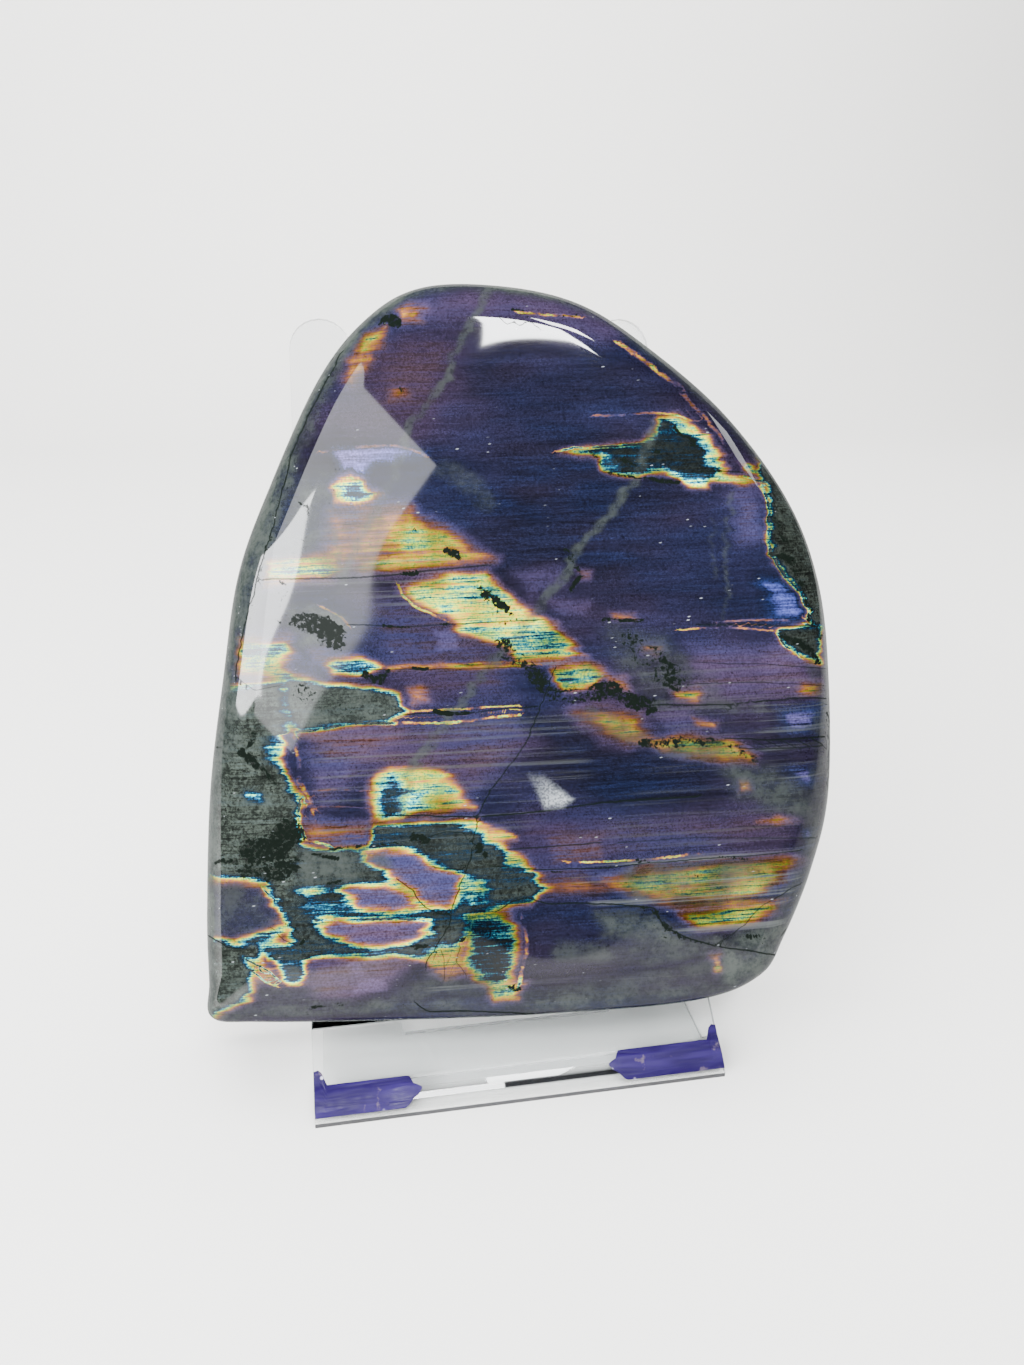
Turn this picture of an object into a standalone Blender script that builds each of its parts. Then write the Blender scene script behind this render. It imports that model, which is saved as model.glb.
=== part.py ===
"""A polished labradorite freeform leaning on a clear acrylic easel.

Metres, +Z up. The easel's front faces -Y. The origin is the middle of the footprint box, on the table.
"""
from math import atan2, cos, pi, radians, sin, tan

import bmesh
import bpy
from mathutils import Vector

MM = 0.001

# Easel: one sheet, folded at the nose, the crest and the heel
SHEET = 2.4 * MM
EASEL_WIDTH = 110.6 * MM
PANEL_ANGLE = radians(38.1)
STRIP_LENGTH = 9.3 * MM
STRIP_BULGE = 0.55 * MM
NOSE_HEIGHT = 1.3 * MM
CREST_HEIGHT = 16.6 * MM
HEEL_HEIGHT = 8.5 * MM
HEEL_DEPTH = 41.9 * MM
BACK_ANGLE = radians(72.0)
EAR_TOP = 189.5 * MM
EAR_START = 18.0 * MM
EAR_WIDTH = 16.8 * MM
EAR_SPAN = 101.8 * MM
NOTCH_FLOOR = 34.0 * MM
NOTCH_CORNER = 9.0 * MM
FOOT_LENGTH = 114.0 * MM
FOOT_INSET = 2.4 * MM
FOLD_RADIUS = 1.8 * MM
BEND_RADIUS = 2.0 * MM
BEND_STEPS = 5
EAR_STEPS = 12
WINDOW_WIDTH = 61.3 * MM
WINDOW_FRONT = 28.5 * MM
WINDOW_BACK = 96.0 * MM
WINDOW_CORNER = 4.0 * MM
FOOT_CORNER = 6.0 * MM
TRIM_START = 13.0 * MM
CUT_MARGIN = 15.0 * MM
CUT_LOW = -60.0 * MM
CUT_DEPTH = 120.0 * MM
CUT_OVERLAP = 1.0 * MM

# Film: two remnants on the front strip, each with a tab up the panel's side margin
FILM = 0.25 * MM
FILM_LOW = 1.2 * MM
FILM_HIGH = 9.1 * MM
FILM_TAB_WIDTH = 3.4 * MM
FILM_TAB_HIGH = 13.0 * MM
FILM_LEFT_END = -30.6 * MM
FILM_RIGHT_END = 26.4 * MM
FILM_ROWS = 8
FILM_COLUMNS = 8

# Stone, in its own frame: X across, Y up the back, Z out of the back towards the face
GAP = 0.3 * MM
BASE_THICKNESS = 40.0 * MM
WEDGE = radians(6.0)
TAPER = radians(3.2)
BASE_TILT = radians(3.6)
DOME = 3.0 * MM
WAVE = 0.35 * MM
WAVE_LENGTH = 62.0 * MM
STONE_CENTRE = Vector((6.0, 88.0)) * MM
SHOULDER_POWER = 2.1
SPAN_STEPS = 4
FACE_RINGS = 7
SHOULDER_RINGS = 6
BACK_RINGS = 4
# Each row: across and up at the rim in mm, then how far in mm the face's shoulder reaches inwards and
# the share of the thickness that it takes, then the same two for the back's shoulder
OUTLINE = (
    (-80.4, 5.2, 5.0, 0.20, 4.0, 0.30),
    (-80.9, 14.0, 7.0, 0.32, 6.0, 0.40),
    (-80.5, 32.0, 8.0, 0.38, 8.0, 0.50),
    (-77.7, 64.0, 9.0, 0.40, 9.0, 0.55),
    (-72.7, 92.8, 10.0, 0.42, 9.0, 0.55),
    (-67.2, 119.6, 11.0, 0.44, 10.0, 0.53),
    (-58.0, 141.8, 12.0, 0.45, 10.0, 0.52),
    (-43.6, 169.6, 13.0, 0.45, 11.0, 0.52),
    (-30.2, 185.0, 13.0, 0.45, 11.0, 0.52),
    (-16.0, 192.3, 13.0, 0.45, 11.0, 0.52),
    (4.0, 192.4, 13.0, 0.45, 11.0, 0.52),
    (23.6, 188.0, 14.0, 0.45, 12.0, 0.52),
    (40.4, 177.9, 15.0, 0.46, 13.0, 0.51),
    (63.0, 158.2, 16.0, 0.47, 14.0, 0.50),
    (80.2, 134.2, 17.0, 0.47, 15.0, 0.50),
    (88.4, 110.8, 17.0, 0.47, 15.0, 0.50),
    (90.5, 84.0, 17.0, 0.47, 15.0, 0.50),
    (89.0, 52.0, 17.0, 0.46, 15.0, 0.50),
    (82.6, 31.0, 16.0, 0.42, 14.0, 0.48),
    (73.0, 13.8, 13.0, 0.32, 10.0, 0.35),
    (64.6, 4.6, 9.0, 0.22, 6.0, 0.18),
    (46.0, 0.4, 5.0, 0.12, 4.0, 0.10),
    (8.0, 0.0, 4.0, 0.10, 3.5, 0.10),
    (-32.0, 1.3, 4.0, 0.11, 3.5, 0.10),
    (-68.0, 3.4, 4.5, 0.14, 3.5, 0.14),
)


def clear_scene():
    """Remove every object that the file opened with."""
    for old in list(bpy.data.objects):
        bpy.data.objects.remove(old, do_unlink=True)


def material(name, colour, roughness, transmission=0.0, ior=1.5):
    """A Principled material of one colour."""
    made = bpy.data.materials.new(name)
    made.use_nodes = True
    shader = made.node_tree.nodes["Principled BSDF"]
    shader.inputs["Base Color"].default_value = (*colour, 1.0)
    shader.inputs["Roughness"].default_value = roughness
    shader.inputs["Transmission Weight"].default_value = transmission
    shader.inputs["IOR"].default_value = ior
    return made


def add_object(name, mesh_builder, surface=None):
    """Turn a finished bmesh into a named object in the scene."""
    bmesh.ops.recalc_face_normals(mesh_builder, faces=mesh_builder.faces)
    mesh = bpy.data.meshes.new(name)
    mesh_builder.to_mesh(mesh)
    mesh_builder.free()
    made = bpy.data.objects.new(name, mesh)
    bpy.context.scene.collection.objects.link(made)
    if surface:
        mesh.materials.append(surface)
    return made


def rounded(corners):
    """The points of a closed outline whose corners (x, y, radius) are rounded by short arcs."""
    points = []
    for index, (x, y, radius) in enumerate(corners):
        here = Vector((x, y))
        if radius == 0:
            points.append(here)
            continue
        before = (Vector(corners[index - 1][:2]) - here).normalized()
        after = (Vector(corners[(index + 1) % len(corners)][:2]) - here).normalized()
        half = before.angle(after) / 2
        reach = radius / tan(half)
        centre = here + (before + after).normalized() * (radius / sin(half))
        start = here + before * reach - centre
        end = here + after * reach - centre
        turn = start.angle_signed(end)
        for step in range(BEND_STEPS + 1):
            angle = atan2(start.y, start.x) - turn * step / BEND_STEPS
            points.append(centre + radius * Vector((cos(angle), sin(angle))))
    return points


def crossing(point_a, way_a, point_b, way_b):
    """Where two straight lines in a plane meet."""
    along = (point_b - point_a).cross(way_b) / way_a.cross(way_b)
    return point_a + way_a * along


def prism(name, outline, place, low, high, surface=None):
    """A solid of this closed outline from low to high; place turns outline points and heights into 3-D."""
    shape = bmesh.new()
    bottom = [shape.verts.new(place(p.x, p.y, low)) for p in outline]
    top = [shape.verts.new(place(p.x, p.y, high)) for p in outline]
    shape.faces.new(bottom)
    shape.faces.new(top)
    for index in range(len(outline)):
        following = (index + 1) % len(outline)
        shape.faces.new((bottom[index], bottom[following], top[following], top[index]))
    return add_object(name, shape, surface)


def along_width(y, z, x):
    """Place a point of the side profile."""
    return Vector((x, y, z))


def upright(x, y, z):
    """Place a point of a plan outline."""
    return Vector((x, y, z))


BACK_WAY = Vector((cos(BACK_ANGLE), sin(BACK_ANGLE)))
BACK_OUT = Vector((-sin(BACK_ANGLE), cos(BACK_ANGLE)))
HEEL = Vector((HEEL_DEPTH, HEEL_HEIGHT))
PANEL_WAY = Vector((cos(PANEL_ANGLE), sin(PANEL_ANGLE)))
PANEL_OUT = Vector((-sin(PANEL_ANGLE), cos(PANEL_ANGLE)))


def on_back(x, up, out):
    """Place a point given across, up the back rest and out of its front face."""
    spot = HEEL + BACK_WAY * up + BACK_OUT * out
    return Vector((x, spot.x, spot.y))


def strip_point(along, out=0.0):
    """A point of the front strip's crowned surface, this far up it, or of the flat panel above it."""
    nose = Vector((0.0, NOSE_HEIGHT))
    share = min(along / STRIP_LENGTH, 1.0)
    crown = 4 * STRIP_BULGE * share * (1 - share)
    return nose + PANEL_WAY * along + PANEL_OUT * (crown + out)


def easel_profile():
    """The bent sheet from the side: foot, nose, crowned strip, panel, crest, seat, heel and back rest."""
    nose = strip_point(0.0)
    crest = crossing(nose, PANEL_WAY, Vector((0.0, CREST_HEIGHT)), Vector((1.0, 0.0)))
    seat_way = (HEEL - crest).normalized()
    seat_out = Vector((-seat_way.y, seat_way.x))
    ear = HEEL + BACK_WAY * ((EAR_TOP - HEEL_HEIGHT) / BACK_WAY.y)
    under_panel = nose - PANEL_OUT * SHEET
    under_seat = crest - seat_out * SHEET
    behind_back = HEEL - BACK_OUT * SHEET
    heel_under = crossing(under_seat, seat_way, behind_back, BACK_WAY)
    crest_under = crossing(under_panel, PANEL_WAY, under_seat, seat_way)
    fold = crossing(under_panel, PANEL_WAY, Vector((0.0, SHEET)), Vector((1.0, 0.0)))
    strip = [strip_point(STRIP_LENGTH * step / 6) for step in range(1, 6)]
    corners = [
        (FOOT_LENGTH + FOOT_CORNER, 0.0, 0.0),
        (0.0, 0.0, 0.0),
        (nose.x, nose.y, 0.0),
        *((spot.x, spot.y, 0.0) for spot in strip),
        (*strip_point(STRIP_LENGTH), 0.0),
        (*crest, BEND_RADIUS + SHEET),
        (*HEEL, BEND_RADIUS),
        (*ear, 0.0),
        (*(ear - BACK_OUT * SHEET), 0.0),
        (*heel_under, BEND_RADIUS + SHEET),
        (*crest_under, BEND_RADIUS),
        (*fold, FOLD_RADIUS),
        (FOOT_LENGTH + FOOT_CORNER, SHEET, 0.0),
    ]
    return rounded(corners)


def back_outline():
    """What is kept of the sheet, seen square to the back rest: all of the front and two round ears."""
    radius = EAR_WIDTH / 2
    outer = EAR_SPAN / 2
    inner = outer - EAR_WIDTH
    ear_up = (EAR_TOP - HEEL_HEIGHT) / BACK_WAY.y - radius
    floor = (NOTCH_FLOOR - HEEL_HEIGHT) / BACK_WAY.y
    wide = EASEL_WIDTH / 2 + FILM + CUT_MARGIN
    arc = []
    for step in range(1, EAR_STEPS):
        angle = pi * step / EAR_STEPS
        arc.append(Vector((outer - radius + radius * cos(angle), ear_up + radius * sin(angle))))
    right = [Vector((wide, CUT_LOW)), Vector((wide, EAR_START)), Vector((wide - CUT_MARGIN, EAR_START))]
    right += [Vector((outer, ear_up)), *arc, Vector((inner, ear_up))]
    for step in range(BEND_STEPS + 1):
        angle = pi / 2 * step / BEND_STEPS
        across = inner - NOTCH_CORNER * (1 - cos(angle))
        right.append(Vector((across, floor + NOTCH_CORNER * (1 - sin(angle)))))
    left = [Vector((-spot.x, spot.y)) for spot in reversed(right)]
    return right + left


def window_outline():
    """The rounded window in the foot plate."""
    half = WINDOW_WIDTH / 2
    return rounded((
        (-half, WINDOW_FRONT, WINDOW_CORNER / 4),
        (half, WINDOW_FRONT, WINDOW_CORNER / 4),
        (half, WINDOW_BACK, WINDOW_CORNER),
        (-half, WINDOW_BACK, WINDOW_CORNER),
    ))


def foot_trim_outline():
    """What is cut off round the foot plate: it is narrower than the panel and has round rear corners."""
    half = EASEL_WIDTH / 2 - FOOT_INSET
    far = FOOT_LENGTH + 2 * FOOT_CORNER
    wide = half + CUT_MARGIN
    return rounded((
        (-wide, TRIM_START, 0.0),
        (-half, TRIM_START, 0.0),
        (-half, FOOT_LENGTH, FOOT_CORNER),
        (half, FOOT_LENGTH, FOOT_CORNER),
        (half, TRIM_START, 0.0),
        (wide, TRIM_START, 0.0),
        (wide, far, 0.0),
        (-wide, far, 0.0),
    ))


def cut(target, cutter, operation):
    """Apply one Boolean and hide its cutter from renders."""
    step = target.modifiers.new(cutter.name, "BOOLEAN")
    step.operation = operation
    step.solver = "EXACT"
    step.object = cutter
    cutter.hide_render = True
    cutter.display_type = "WIRE"


def build_easel(surface):
    """The clear sheet, bent and trimmed."""
    half = EASEL_WIDTH / 2
    easel = prism("easel", easel_profile(), along_width, -half, half, surface)
    ears = prism("ear_shape", back_outline(), on_back, -CUT_DEPTH, CUT_DEPTH)
    window = prism("window_cutter", window_outline(), upright, -CUT_OVERLAP, SHEET + CUT_OVERLAP)
    trim = prism("foot_trim_cutter", foot_trim_outline(), upright, -CUT_OVERLAP, SHEET + CUT_OVERLAP)
    cut(easel, ears, "INTERSECT")
    cut(easel, window, "DIFFERENCE")
    cut(easel, trim, "DIFFERENCE")
    return [easel, ears, window, trim]


def build_film(name, columns, surface):
    """A thin remnant on the front strip: each column is (across, low end, high end) up the strip."""
    shape = bmesh.new()
    sides = []
    for out in (GAP, GAP + FILM):
        grid = []
        for across, low, high in columns:
            line = []
            for row in range(FILM_ROWS + 1):
                spot = strip_point(low + (high - low) * row / FILM_ROWS, out)
                line.append(shape.verts.new((across, spot.x, spot.y)))
            grid.append(line)
        sides.append(grid)
    for grid in sides:
        for line, following in zip(grid, grid[1:]):
            for row in range(FILM_ROWS):
                shape.faces.new((line[row], following[row], following[row + 1], line[row + 1]))
    bottom, top = (
        [line[0] for line in grid] + grid[-1][1:] + [line[-1] for line in grid[-2::-1]] + grid[0][-2:0:-1]
        for grid in sides
    )
    for index in range(len(bottom)):
        following = (index + 1) % len(bottom)
        shape.faces.new((bottom[index], bottom[following], top[following], top[index]))
    return add_object(name, shape, surface)


def film_columns(inner_end, side):
    """Columns of one remnant, from its torn inner end to the sheet's side edge, where its tab is."""
    edge = side * (EASEL_WIDTH / 2 - 0.1 * MM)
    tab = edge - side * FILM_TAB_WIDTH
    mid = (FILM_LOW + FILM_HIGH) / 2
    torn = (
        (-3.2, mid + 0.2 * MM, mid + 0.8 * MM),
        (-2.2, mid - 1.0 * MM, mid + 1.4 * MM),
        (-1.1, mid - 1.6 * MM, mid + 1.9 * MM),
        (-0.2, mid - 2.6 * MM, FILM_HIGH - 0.2 * MM),
        (0.5, FILM_LOW + 0.5 * MM, FILM_HIGH),
    )
    columns = [(inner_end + side * at * MM, low, high) for at, low, high in torn]
    start = inner_end + side * 1.5 * MM
    for step in range(FILM_COLUMNS + 1):
        columns.append((start + (tab - start) * step / FILM_COLUMNS, FILM_LOW, FILM_HIGH))
    columns.append((tab + side * 0.3 * MM, FILM_LOW, FILM_HIGH + 0.6 * MM))
    columns.append((tab + side * 1.3 * MM, FILM_LOW, FILM_TAB_HIGH - 0.8 * MM))
    columns.append((tab + side * 2.2 * MM, FILM_LOW, FILM_TAB_HIGH))
    columns.append((edge, FILM_LOW, FILM_TAB_HIGH - 0.3 * MM))
    return columns


def rim_rows():
    """The outline's rows, filled in along a smooth closed curve through them."""
    rows = [Vector(row) for row in OUTLINE]
    filled = []
    for index in range(len(rows)):
        a, b, c, d = (rows[(index + shift) % len(rows)] for shift in (-1, 0, 1, 2))
        square = 2 * a - 5 * b + 4 * c - d
        cube = 3 * b - a - 3 * c + d
        for step in range(SPAN_STEPS):
            t = step / SPAN_STEPS
            filled.append(0.5 * (2 * b + (c - a) * t + square * t**2 + cube * t**3))
    return filled


def thickness(x, y):
    """The stone's thickness before its dome: thicker to the right and towards the base."""
    return BASE_THICKNESS + x * tan(WEDGE) - y * tan(TAPER)


def face_height(x, y, share):
    """How far the polished face stands off the back, share being 0 at the middle and 1 at the rim."""
    wave = WAVE * sin(2 * pi * x / WAVE_LENGTH + 0.6) * cos(2 * pi * y / WAVE_LENGTH)
    return thickness(x, y) + (DOME + wave) * (1 - share**2)


def stone_column(row):
    """The stone's points from next to the face's middle, over the rim, to next to the back's middle."""
    rim = Vector(row[:2]) * MM
    face_reach, back_reach = row[2] * MM, row[4] * MM
    inwards = STONE_CENTRE - rim
    length = inwards.length
    inwards.normalize()
    full = thickness(*rim)
    face_rise, back_rise = row[3] * full, row[5] * full
    power = 2 / SHOULDER_POWER
    points = []

    def add(inset, height):
        spot = rim + inwards * inset
        points.append(Vector((spot.x, spot.y + height * tan(BASE_TILT), height)))

    for ring in range(1, FACE_RINGS):
        share = ring / FACE_RINGS * (1 - face_reach / length)
        spot = STONE_CENTRE - inwards * length * share
        add(length * (1 - share), face_height(*spot, share))
    for ring in range(SHOULDER_RINGS + 1):
        angle = pi / 2 * (1 - ring / SHOULDER_RINGS)
        inset = face_reach * (1 - cos(angle) ** power)
        spot = rim + inwards * inset
        top = face_height(*spot, 1 - inset / length)
        add(inset, full - face_rise + (top - full + face_rise) * sin(angle) ** power)
    for ring in range(SHOULDER_RINGS + 1):
        angle = pi / 2 * ring / SHOULDER_RINGS
        inset = back_reach * (1 - cos(angle) ** power)
        add(inset, back_rise * (1 - sin(angle) ** power))
    for ring in range(BACK_RINGS - 1, 0, -1):
        share = ring / BACK_RINGS * (1 - back_reach / length)
        add(length * (1 - share), 0.0)
    return points


def build_stone(surface):
    """The freeform: one closed solid, leaning back against the ears with its base on the seat."""
    shape = bmesh.new()
    columns = [[shape.verts.new(point) for point in stone_column(row)] for row in rim_rows()]
    x, y = STONE_CENTRE
    peak = face_height(x, y, 0.0)
    front = shape.verts.new((x, y + peak * tan(BASE_TILT), peak))
    back = shape.verts.new((x, y, 0.0))
    for index, column in enumerate(columns):
        following = columns[(index + 1) % len(columns)]
        shape.faces.new((front, column[0], following[0]))
        shape.faces.new((back, following[-1], column[-1]))
        for ring in range(len(column) - 1):
            shape.faces.new((column[ring], column[ring + 1], following[ring + 1], following[ring]))
    bmesh.ops.triangulate(shape, faces=shape.faces)
    stone = add_object("labradorite", shape, surface)
    stone.data.shade_smooth()
    stone.rotation_euler = (BACK_ANGLE, 0.0, 0.0)
    stone.location = on_back(0.0, GAP, GAP)
    return stone


def footprint(objects):
    """The middle of the objects' box, on the table."""
    bpy.context.view_layer.update()
    depsgraph = bpy.context.evaluated_depsgraph_get()
    low, high = Vector((1e9,) * 3), Vector((-1e9,) * 3)
    for piece in objects:
        evaluated = piece.evaluated_get(depsgraph)
        mesh = evaluated.to_mesh()
        for vertex in mesh.vertices:
            spot = evaluated.matrix_world @ vertex.co
            low = Vector(map(min, low, spot))
            high = Vector(map(max, high, spot))
        evaluated.to_mesh_clear()
    return Vector(((low.x + high.x) / 2, (low.y + high.y) / 2, low.z))


def main():
    """Build every piece and put the origin under the middle of the whole."""
    clear_scene()
    flash = material("labradorite_polish", (0.16, 0.17, 0.19), 0.12)
    clear = material("clear_acrylic", (0.97, 0.98, 0.98), 0.03, transmission=1.0, ior=1.49)
    violet = material("violet_film", (0.12, 0.08, 0.37), 0.4)
    stone = build_stone(flash)
    easel, *cutters = build_easel(clear)
    films = [
        build_film("film_left", film_columns(FILM_LEFT_END, -1), violet),
        build_film("film_right", film_columns(FILM_RIGHT_END, 1), violet),
    ]
    root = bpy.data.objects.new("footprint_centre", None)
    bpy.context.scene.collection.objects.link(root)
    root.location = -footprint([stone, easel, *films])
    for piece in [stone, easel, *cutters, *films]:
        piece.parent = root


main()
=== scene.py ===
"""Labradorite freeform on a clear easel: finishes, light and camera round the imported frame.

Metres, +Z up. The easel's front faces -Y.
"""
from math import cos, pi, radians, sin, tan
from types import SimpleNamespace

import bpy
import numpy as np
from bpy.props import FloatProperty, FloatVectorProperty, PointerProperty
from mathutils import Matrix, Vector


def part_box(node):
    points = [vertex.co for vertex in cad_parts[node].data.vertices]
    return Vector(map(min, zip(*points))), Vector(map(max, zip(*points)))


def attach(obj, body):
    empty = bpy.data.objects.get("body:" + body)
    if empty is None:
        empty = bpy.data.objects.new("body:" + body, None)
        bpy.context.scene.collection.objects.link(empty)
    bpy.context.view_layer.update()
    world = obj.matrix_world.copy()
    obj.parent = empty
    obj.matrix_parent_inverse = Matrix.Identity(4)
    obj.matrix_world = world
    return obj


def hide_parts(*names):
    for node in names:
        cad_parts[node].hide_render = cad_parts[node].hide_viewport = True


bl_info = {
    "name": "Labradorite Freeform",
    "version": (1, 0, 0),
    "blender": (4, 5, 0),
    "location": "3D Viewport > Sidebar > Labradorite",
    "description": "Builds a polished labradorite freeform on a clear easel in a plain studio",
    "category": "Object",
}

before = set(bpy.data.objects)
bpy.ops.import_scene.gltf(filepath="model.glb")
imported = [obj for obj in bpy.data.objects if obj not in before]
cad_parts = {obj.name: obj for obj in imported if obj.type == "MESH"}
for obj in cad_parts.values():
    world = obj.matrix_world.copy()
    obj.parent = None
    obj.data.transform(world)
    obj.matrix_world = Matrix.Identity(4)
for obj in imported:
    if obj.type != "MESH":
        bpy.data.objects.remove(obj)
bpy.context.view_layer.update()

MM = 0.001

# Where the easel stands: the middle of its front edge on the table
EASEL_LOW, EASEL_HIGH = (Vector(corner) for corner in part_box("easel"))
FRONT_EDGE = Vector(((EASEL_LOW.x + EASEL_HIGH.x) / 2, EASEL_LOW.y, EASEL_LOW.z))

# The paper runs flat from front to back, then bends up into a wall
FLOOR_FRONT, FLOOR_BACK, FLOOR_BEND, WALL_TOP = -1.6, 0.9, 0.5, 1.1
BEND_STEPS = 24
SKY_COLOUR, SKY_STRENGTH = (0.93, 0.96, 1.0, 1.0), 0.18
# Soft lights that no gloss shows: (name, place, what it looks at, width and height, watts)
SOFT_LIGHTS = (
    ("overhead", (0.0, 0.05, 1.5), (0.0, 0.0, 0.09), (1.6, 1.2), 40.0),
    ("front_fill", (-0.1, -1.5, 0.7), (0.0, 0.0, 0.09), (1.4, 1.0), 12.0),
    ("back_wash", (0.0, 0.55, 1.3), (0.0, 1.4, 0.4), (1.8, 0.5), 32.0),
)
# Panels that the polish reflects, all turned to the stone's middle: (name, degrees to the right and up from
# it and metres away, width and height, roll in degrees, watts)
STONE_MIDDLE = Vector((0.0, 0.0, 0.13))
PANEL_COLOUR = (0.97, 0.99, 1.0)
PANELS = (
    ("key_window", (2.9, 48.7, 1.30), (0.24, 0.21), -1.5, 13.0),
    ("left_window", (-58.0, 23.0, 1.10), (1.24, 0.353), 10.2, 40.0),
    ("soft_panel", (-40.5, 35.0, 1.25), (0.533, 1.035), 66.3, 11.0),
    ("strip_window", (21.0, 59.5, 1.30), (0.22, 0.12), 0.0, 5.5),
    ("right_strip", (88.0, 38.0, 1.10), (0.50, 0.10), 0.0, 2.6),
)

# Camera, from the front edge
CAMERA_OFFSET = Vector((-42.6, -201.4, 210.0)) * MM
CAMERA_TURN, CAMERA_PITCH, CAMERA_ROLL = radians(10.3875), radians(23.3569), radians(0.828)
PHOTO_WIDTH, PHOTO_HEIGHT = 1024, 1365
FOCAL_PIXELS = 1025.0
SENSOR = 36.0

# The stone's seat on the easel, and the gap that it keeps
HEEL = Vector((0.0, 41.9, 8.5)) * MM
BACK_ANGLE = radians(72.0)
GAP = 0.3 * MM

# The easel's sheet, and the painted shade in its front fold: between these heights, and back from the front
# edge
SHEET = 2.4 * MM
FOLD_LOW, FOLD_HIGH = 3.3 * MM, 5.6 * MM
FOLD_BACK = 4.5 * MM
ACRYLIC_IOR = 1.49
# Painted shade for the cut faces and the front fold, standing in for the dark room that the clear sheet
# reflects there
CUT_PAINTED_SHADE = (0.0020, 0.0020, 0.0026, 1.0)
FOLD_PAINTED_SHADE = (0.0008, 0.0008, 0.0010, 1.0)
SHEET_DEEP, SHEET_DENSITY = (0.42, 0.46, 0.50, 1.0), 60.0
# Scuffs and dust over the painted reflection on the violet pieces
SCUFF_COLOUR = (0.1170, 0.0887, 0.1170, 1.0)
DUST_COLOUR = (0.5149, 0.4793, 0.6445, 1.0)

# The stone, in its own frame and in mm: X across, Y up the back, Z out of the back towards the face
BASE_THICKNESS = 40.0
WEDGE = radians(6.0)
TAPER = radians(3.2)
BASE_TILT = radians(3.6)
DOME = 3.0
WAVE = 0.35
WAVE_LENGTH = 62.0
STONE_CENTRE = np.array((6.0, 88.0))
SHOULDER_POWER = 2.1
SPAN_STEPS = 24
FACE_RINGS, SHOULDER_RINGS, BACK_RINGS = 104, 18, 12
# Each row: across and up at the rim, then how far the face's shoulder reaches inwards and the share of the
# thickness that it takes, then the same two for the back's shoulder
OUTLINE = (
    (-80.4, 5.2, 5.0, 0.20, 4.0, 0.30),
    (-80.9, 14.0, 7.0, 0.32, 6.0, 0.40),
    (-80.5, 32.0, 8.0, 0.38, 8.0, 0.50),
    (-77.7, 64.0, 9.0, 0.40, 9.0, 0.55),
    (-72.7, 92.8, 10.0, 0.42, 9.0, 0.55),
    (-67.2, 119.6, 11.0, 0.44, 10.0, 0.53),
    (-58.0, 141.8, 12.0, 0.45, 10.0, 0.52),
    (-43.6, 169.6, 13.0, 0.45, 11.0, 0.52),
    (-30.2, 185.0, 13.0, 0.45, 11.0, 0.52),
    (-16.0, 192.3, 13.0, 0.45, 11.0, 0.52),
    (4.0, 192.4, 13.0, 0.45, 11.0, 0.52),
    (23.6, 188.0, 14.0, 0.45, 12.0, 0.52),
    (40.4, 177.9, 15.0, 0.46, 13.0, 0.51),
    (63.0, 158.2, 16.0, 0.47, 14.0, 0.50),
    (80.2, 134.2, 17.0, 0.47, 15.0, 0.50),
    (88.4, 110.8, 17.0, 0.47, 15.0, 0.50),
    (90.5, 84.0, 17.0, 0.47, 15.0, 0.50),
    (89.0, 52.0, 17.0, 0.46, 15.0, 0.50),
    (82.6, 31.0, 16.0, 0.42, 14.0, 0.48),
    (73.0, 13.8, 13.0, 0.32, 10.0, 0.35),
    (64.6, 4.6, 9.0, 0.22, 6.0, 0.18),
    (46.0, 0.4, 5.0, 0.12, 4.0, 0.10),
    (8.0, 0.0, 4.0, 0.10, 3.5, 0.10),
    (-32.0, 1.3, 4.0, 0.11, 3.5, 0.10),
    (-68.0, 3.4, 4.5, 0.14, 3.5, 0.14),
)

# How deep a flash shows: its colours run from the grey matrix over teal, lemon, gold, rose, violet and indigo
# to a blue sheen. Only a sheen gets past the deepest
MATRIX, VIOLET, DEEPEST, SHEEN = 0.08, 0.79, 0.94, 1.00
# The indigo field between the patches: its depth, and how streaked it is
FIELD_DEPTH, FIELD_STREAK = 0.895, 0.25
# How much a fine line of flash takes off the depth
SEAM_CUT = 0.36
FLASH_RAMP = (
    (0.00, (0.0180, 0.0235, 0.0195)),
    (0.08, (0.0340, 0.0420, 0.0350)),
    (0.16, (0.0240, 0.0320, 0.0310)),
    (0.22, (0.0060, 0.0130, 0.0200)),
    (0.27, (0.0050, 0.0190, 0.0420)),
    (0.32, (0.0104, 0.0600, 0.1150)),
    (0.37, (0.0300, 0.2300, 0.2400)),
    (0.42, (0.1500, 0.4100, 0.0850)),
    (0.47, (0.3500, 0.4000, 0.0320)),
    (0.52, (0.3700, 0.2250, 0.0130)),
    (0.58, (0.2600, 0.1000, 0.0220)),
    (0.64, (0.1250, 0.0470, 0.0340)),
    (0.72, (0.0500, 0.0310, 0.0470)),
    (0.80, (0.0270, 0.0205, 0.0520)),
    (0.86, (0.0140, 0.0118, 0.0320)),
    (0.91, (0.0072, 0.0072, 0.0202)),
    (0.96, (0.0048, 0.0078, 0.0280)),
    (1.00, (0.0480, 0.0480, 0.1700)),
)
WARM_TINT, COOL_TINT = (1.22, 1.0, 0.84, 1.0), (0.82, 1.02, 1.12, 1.0)
# Base colours of what lies over the flash
SOOT_COLOUR = (0.0034, 0.0052, 0.0040, 1.0)
VEIL_DARK = (0.0135, 0.0175, 0.0165, 1.0)
VEIL_PALE = (0.0350, 0.0410, 0.0370, 1.0)
SILVER = (0.0750, 0.0820, 0.0780, 1.0)
CHIP_COLOUR = (0.26, 0.28, 0.30, 1.0)
STONE_IOR = 1.56

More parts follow.
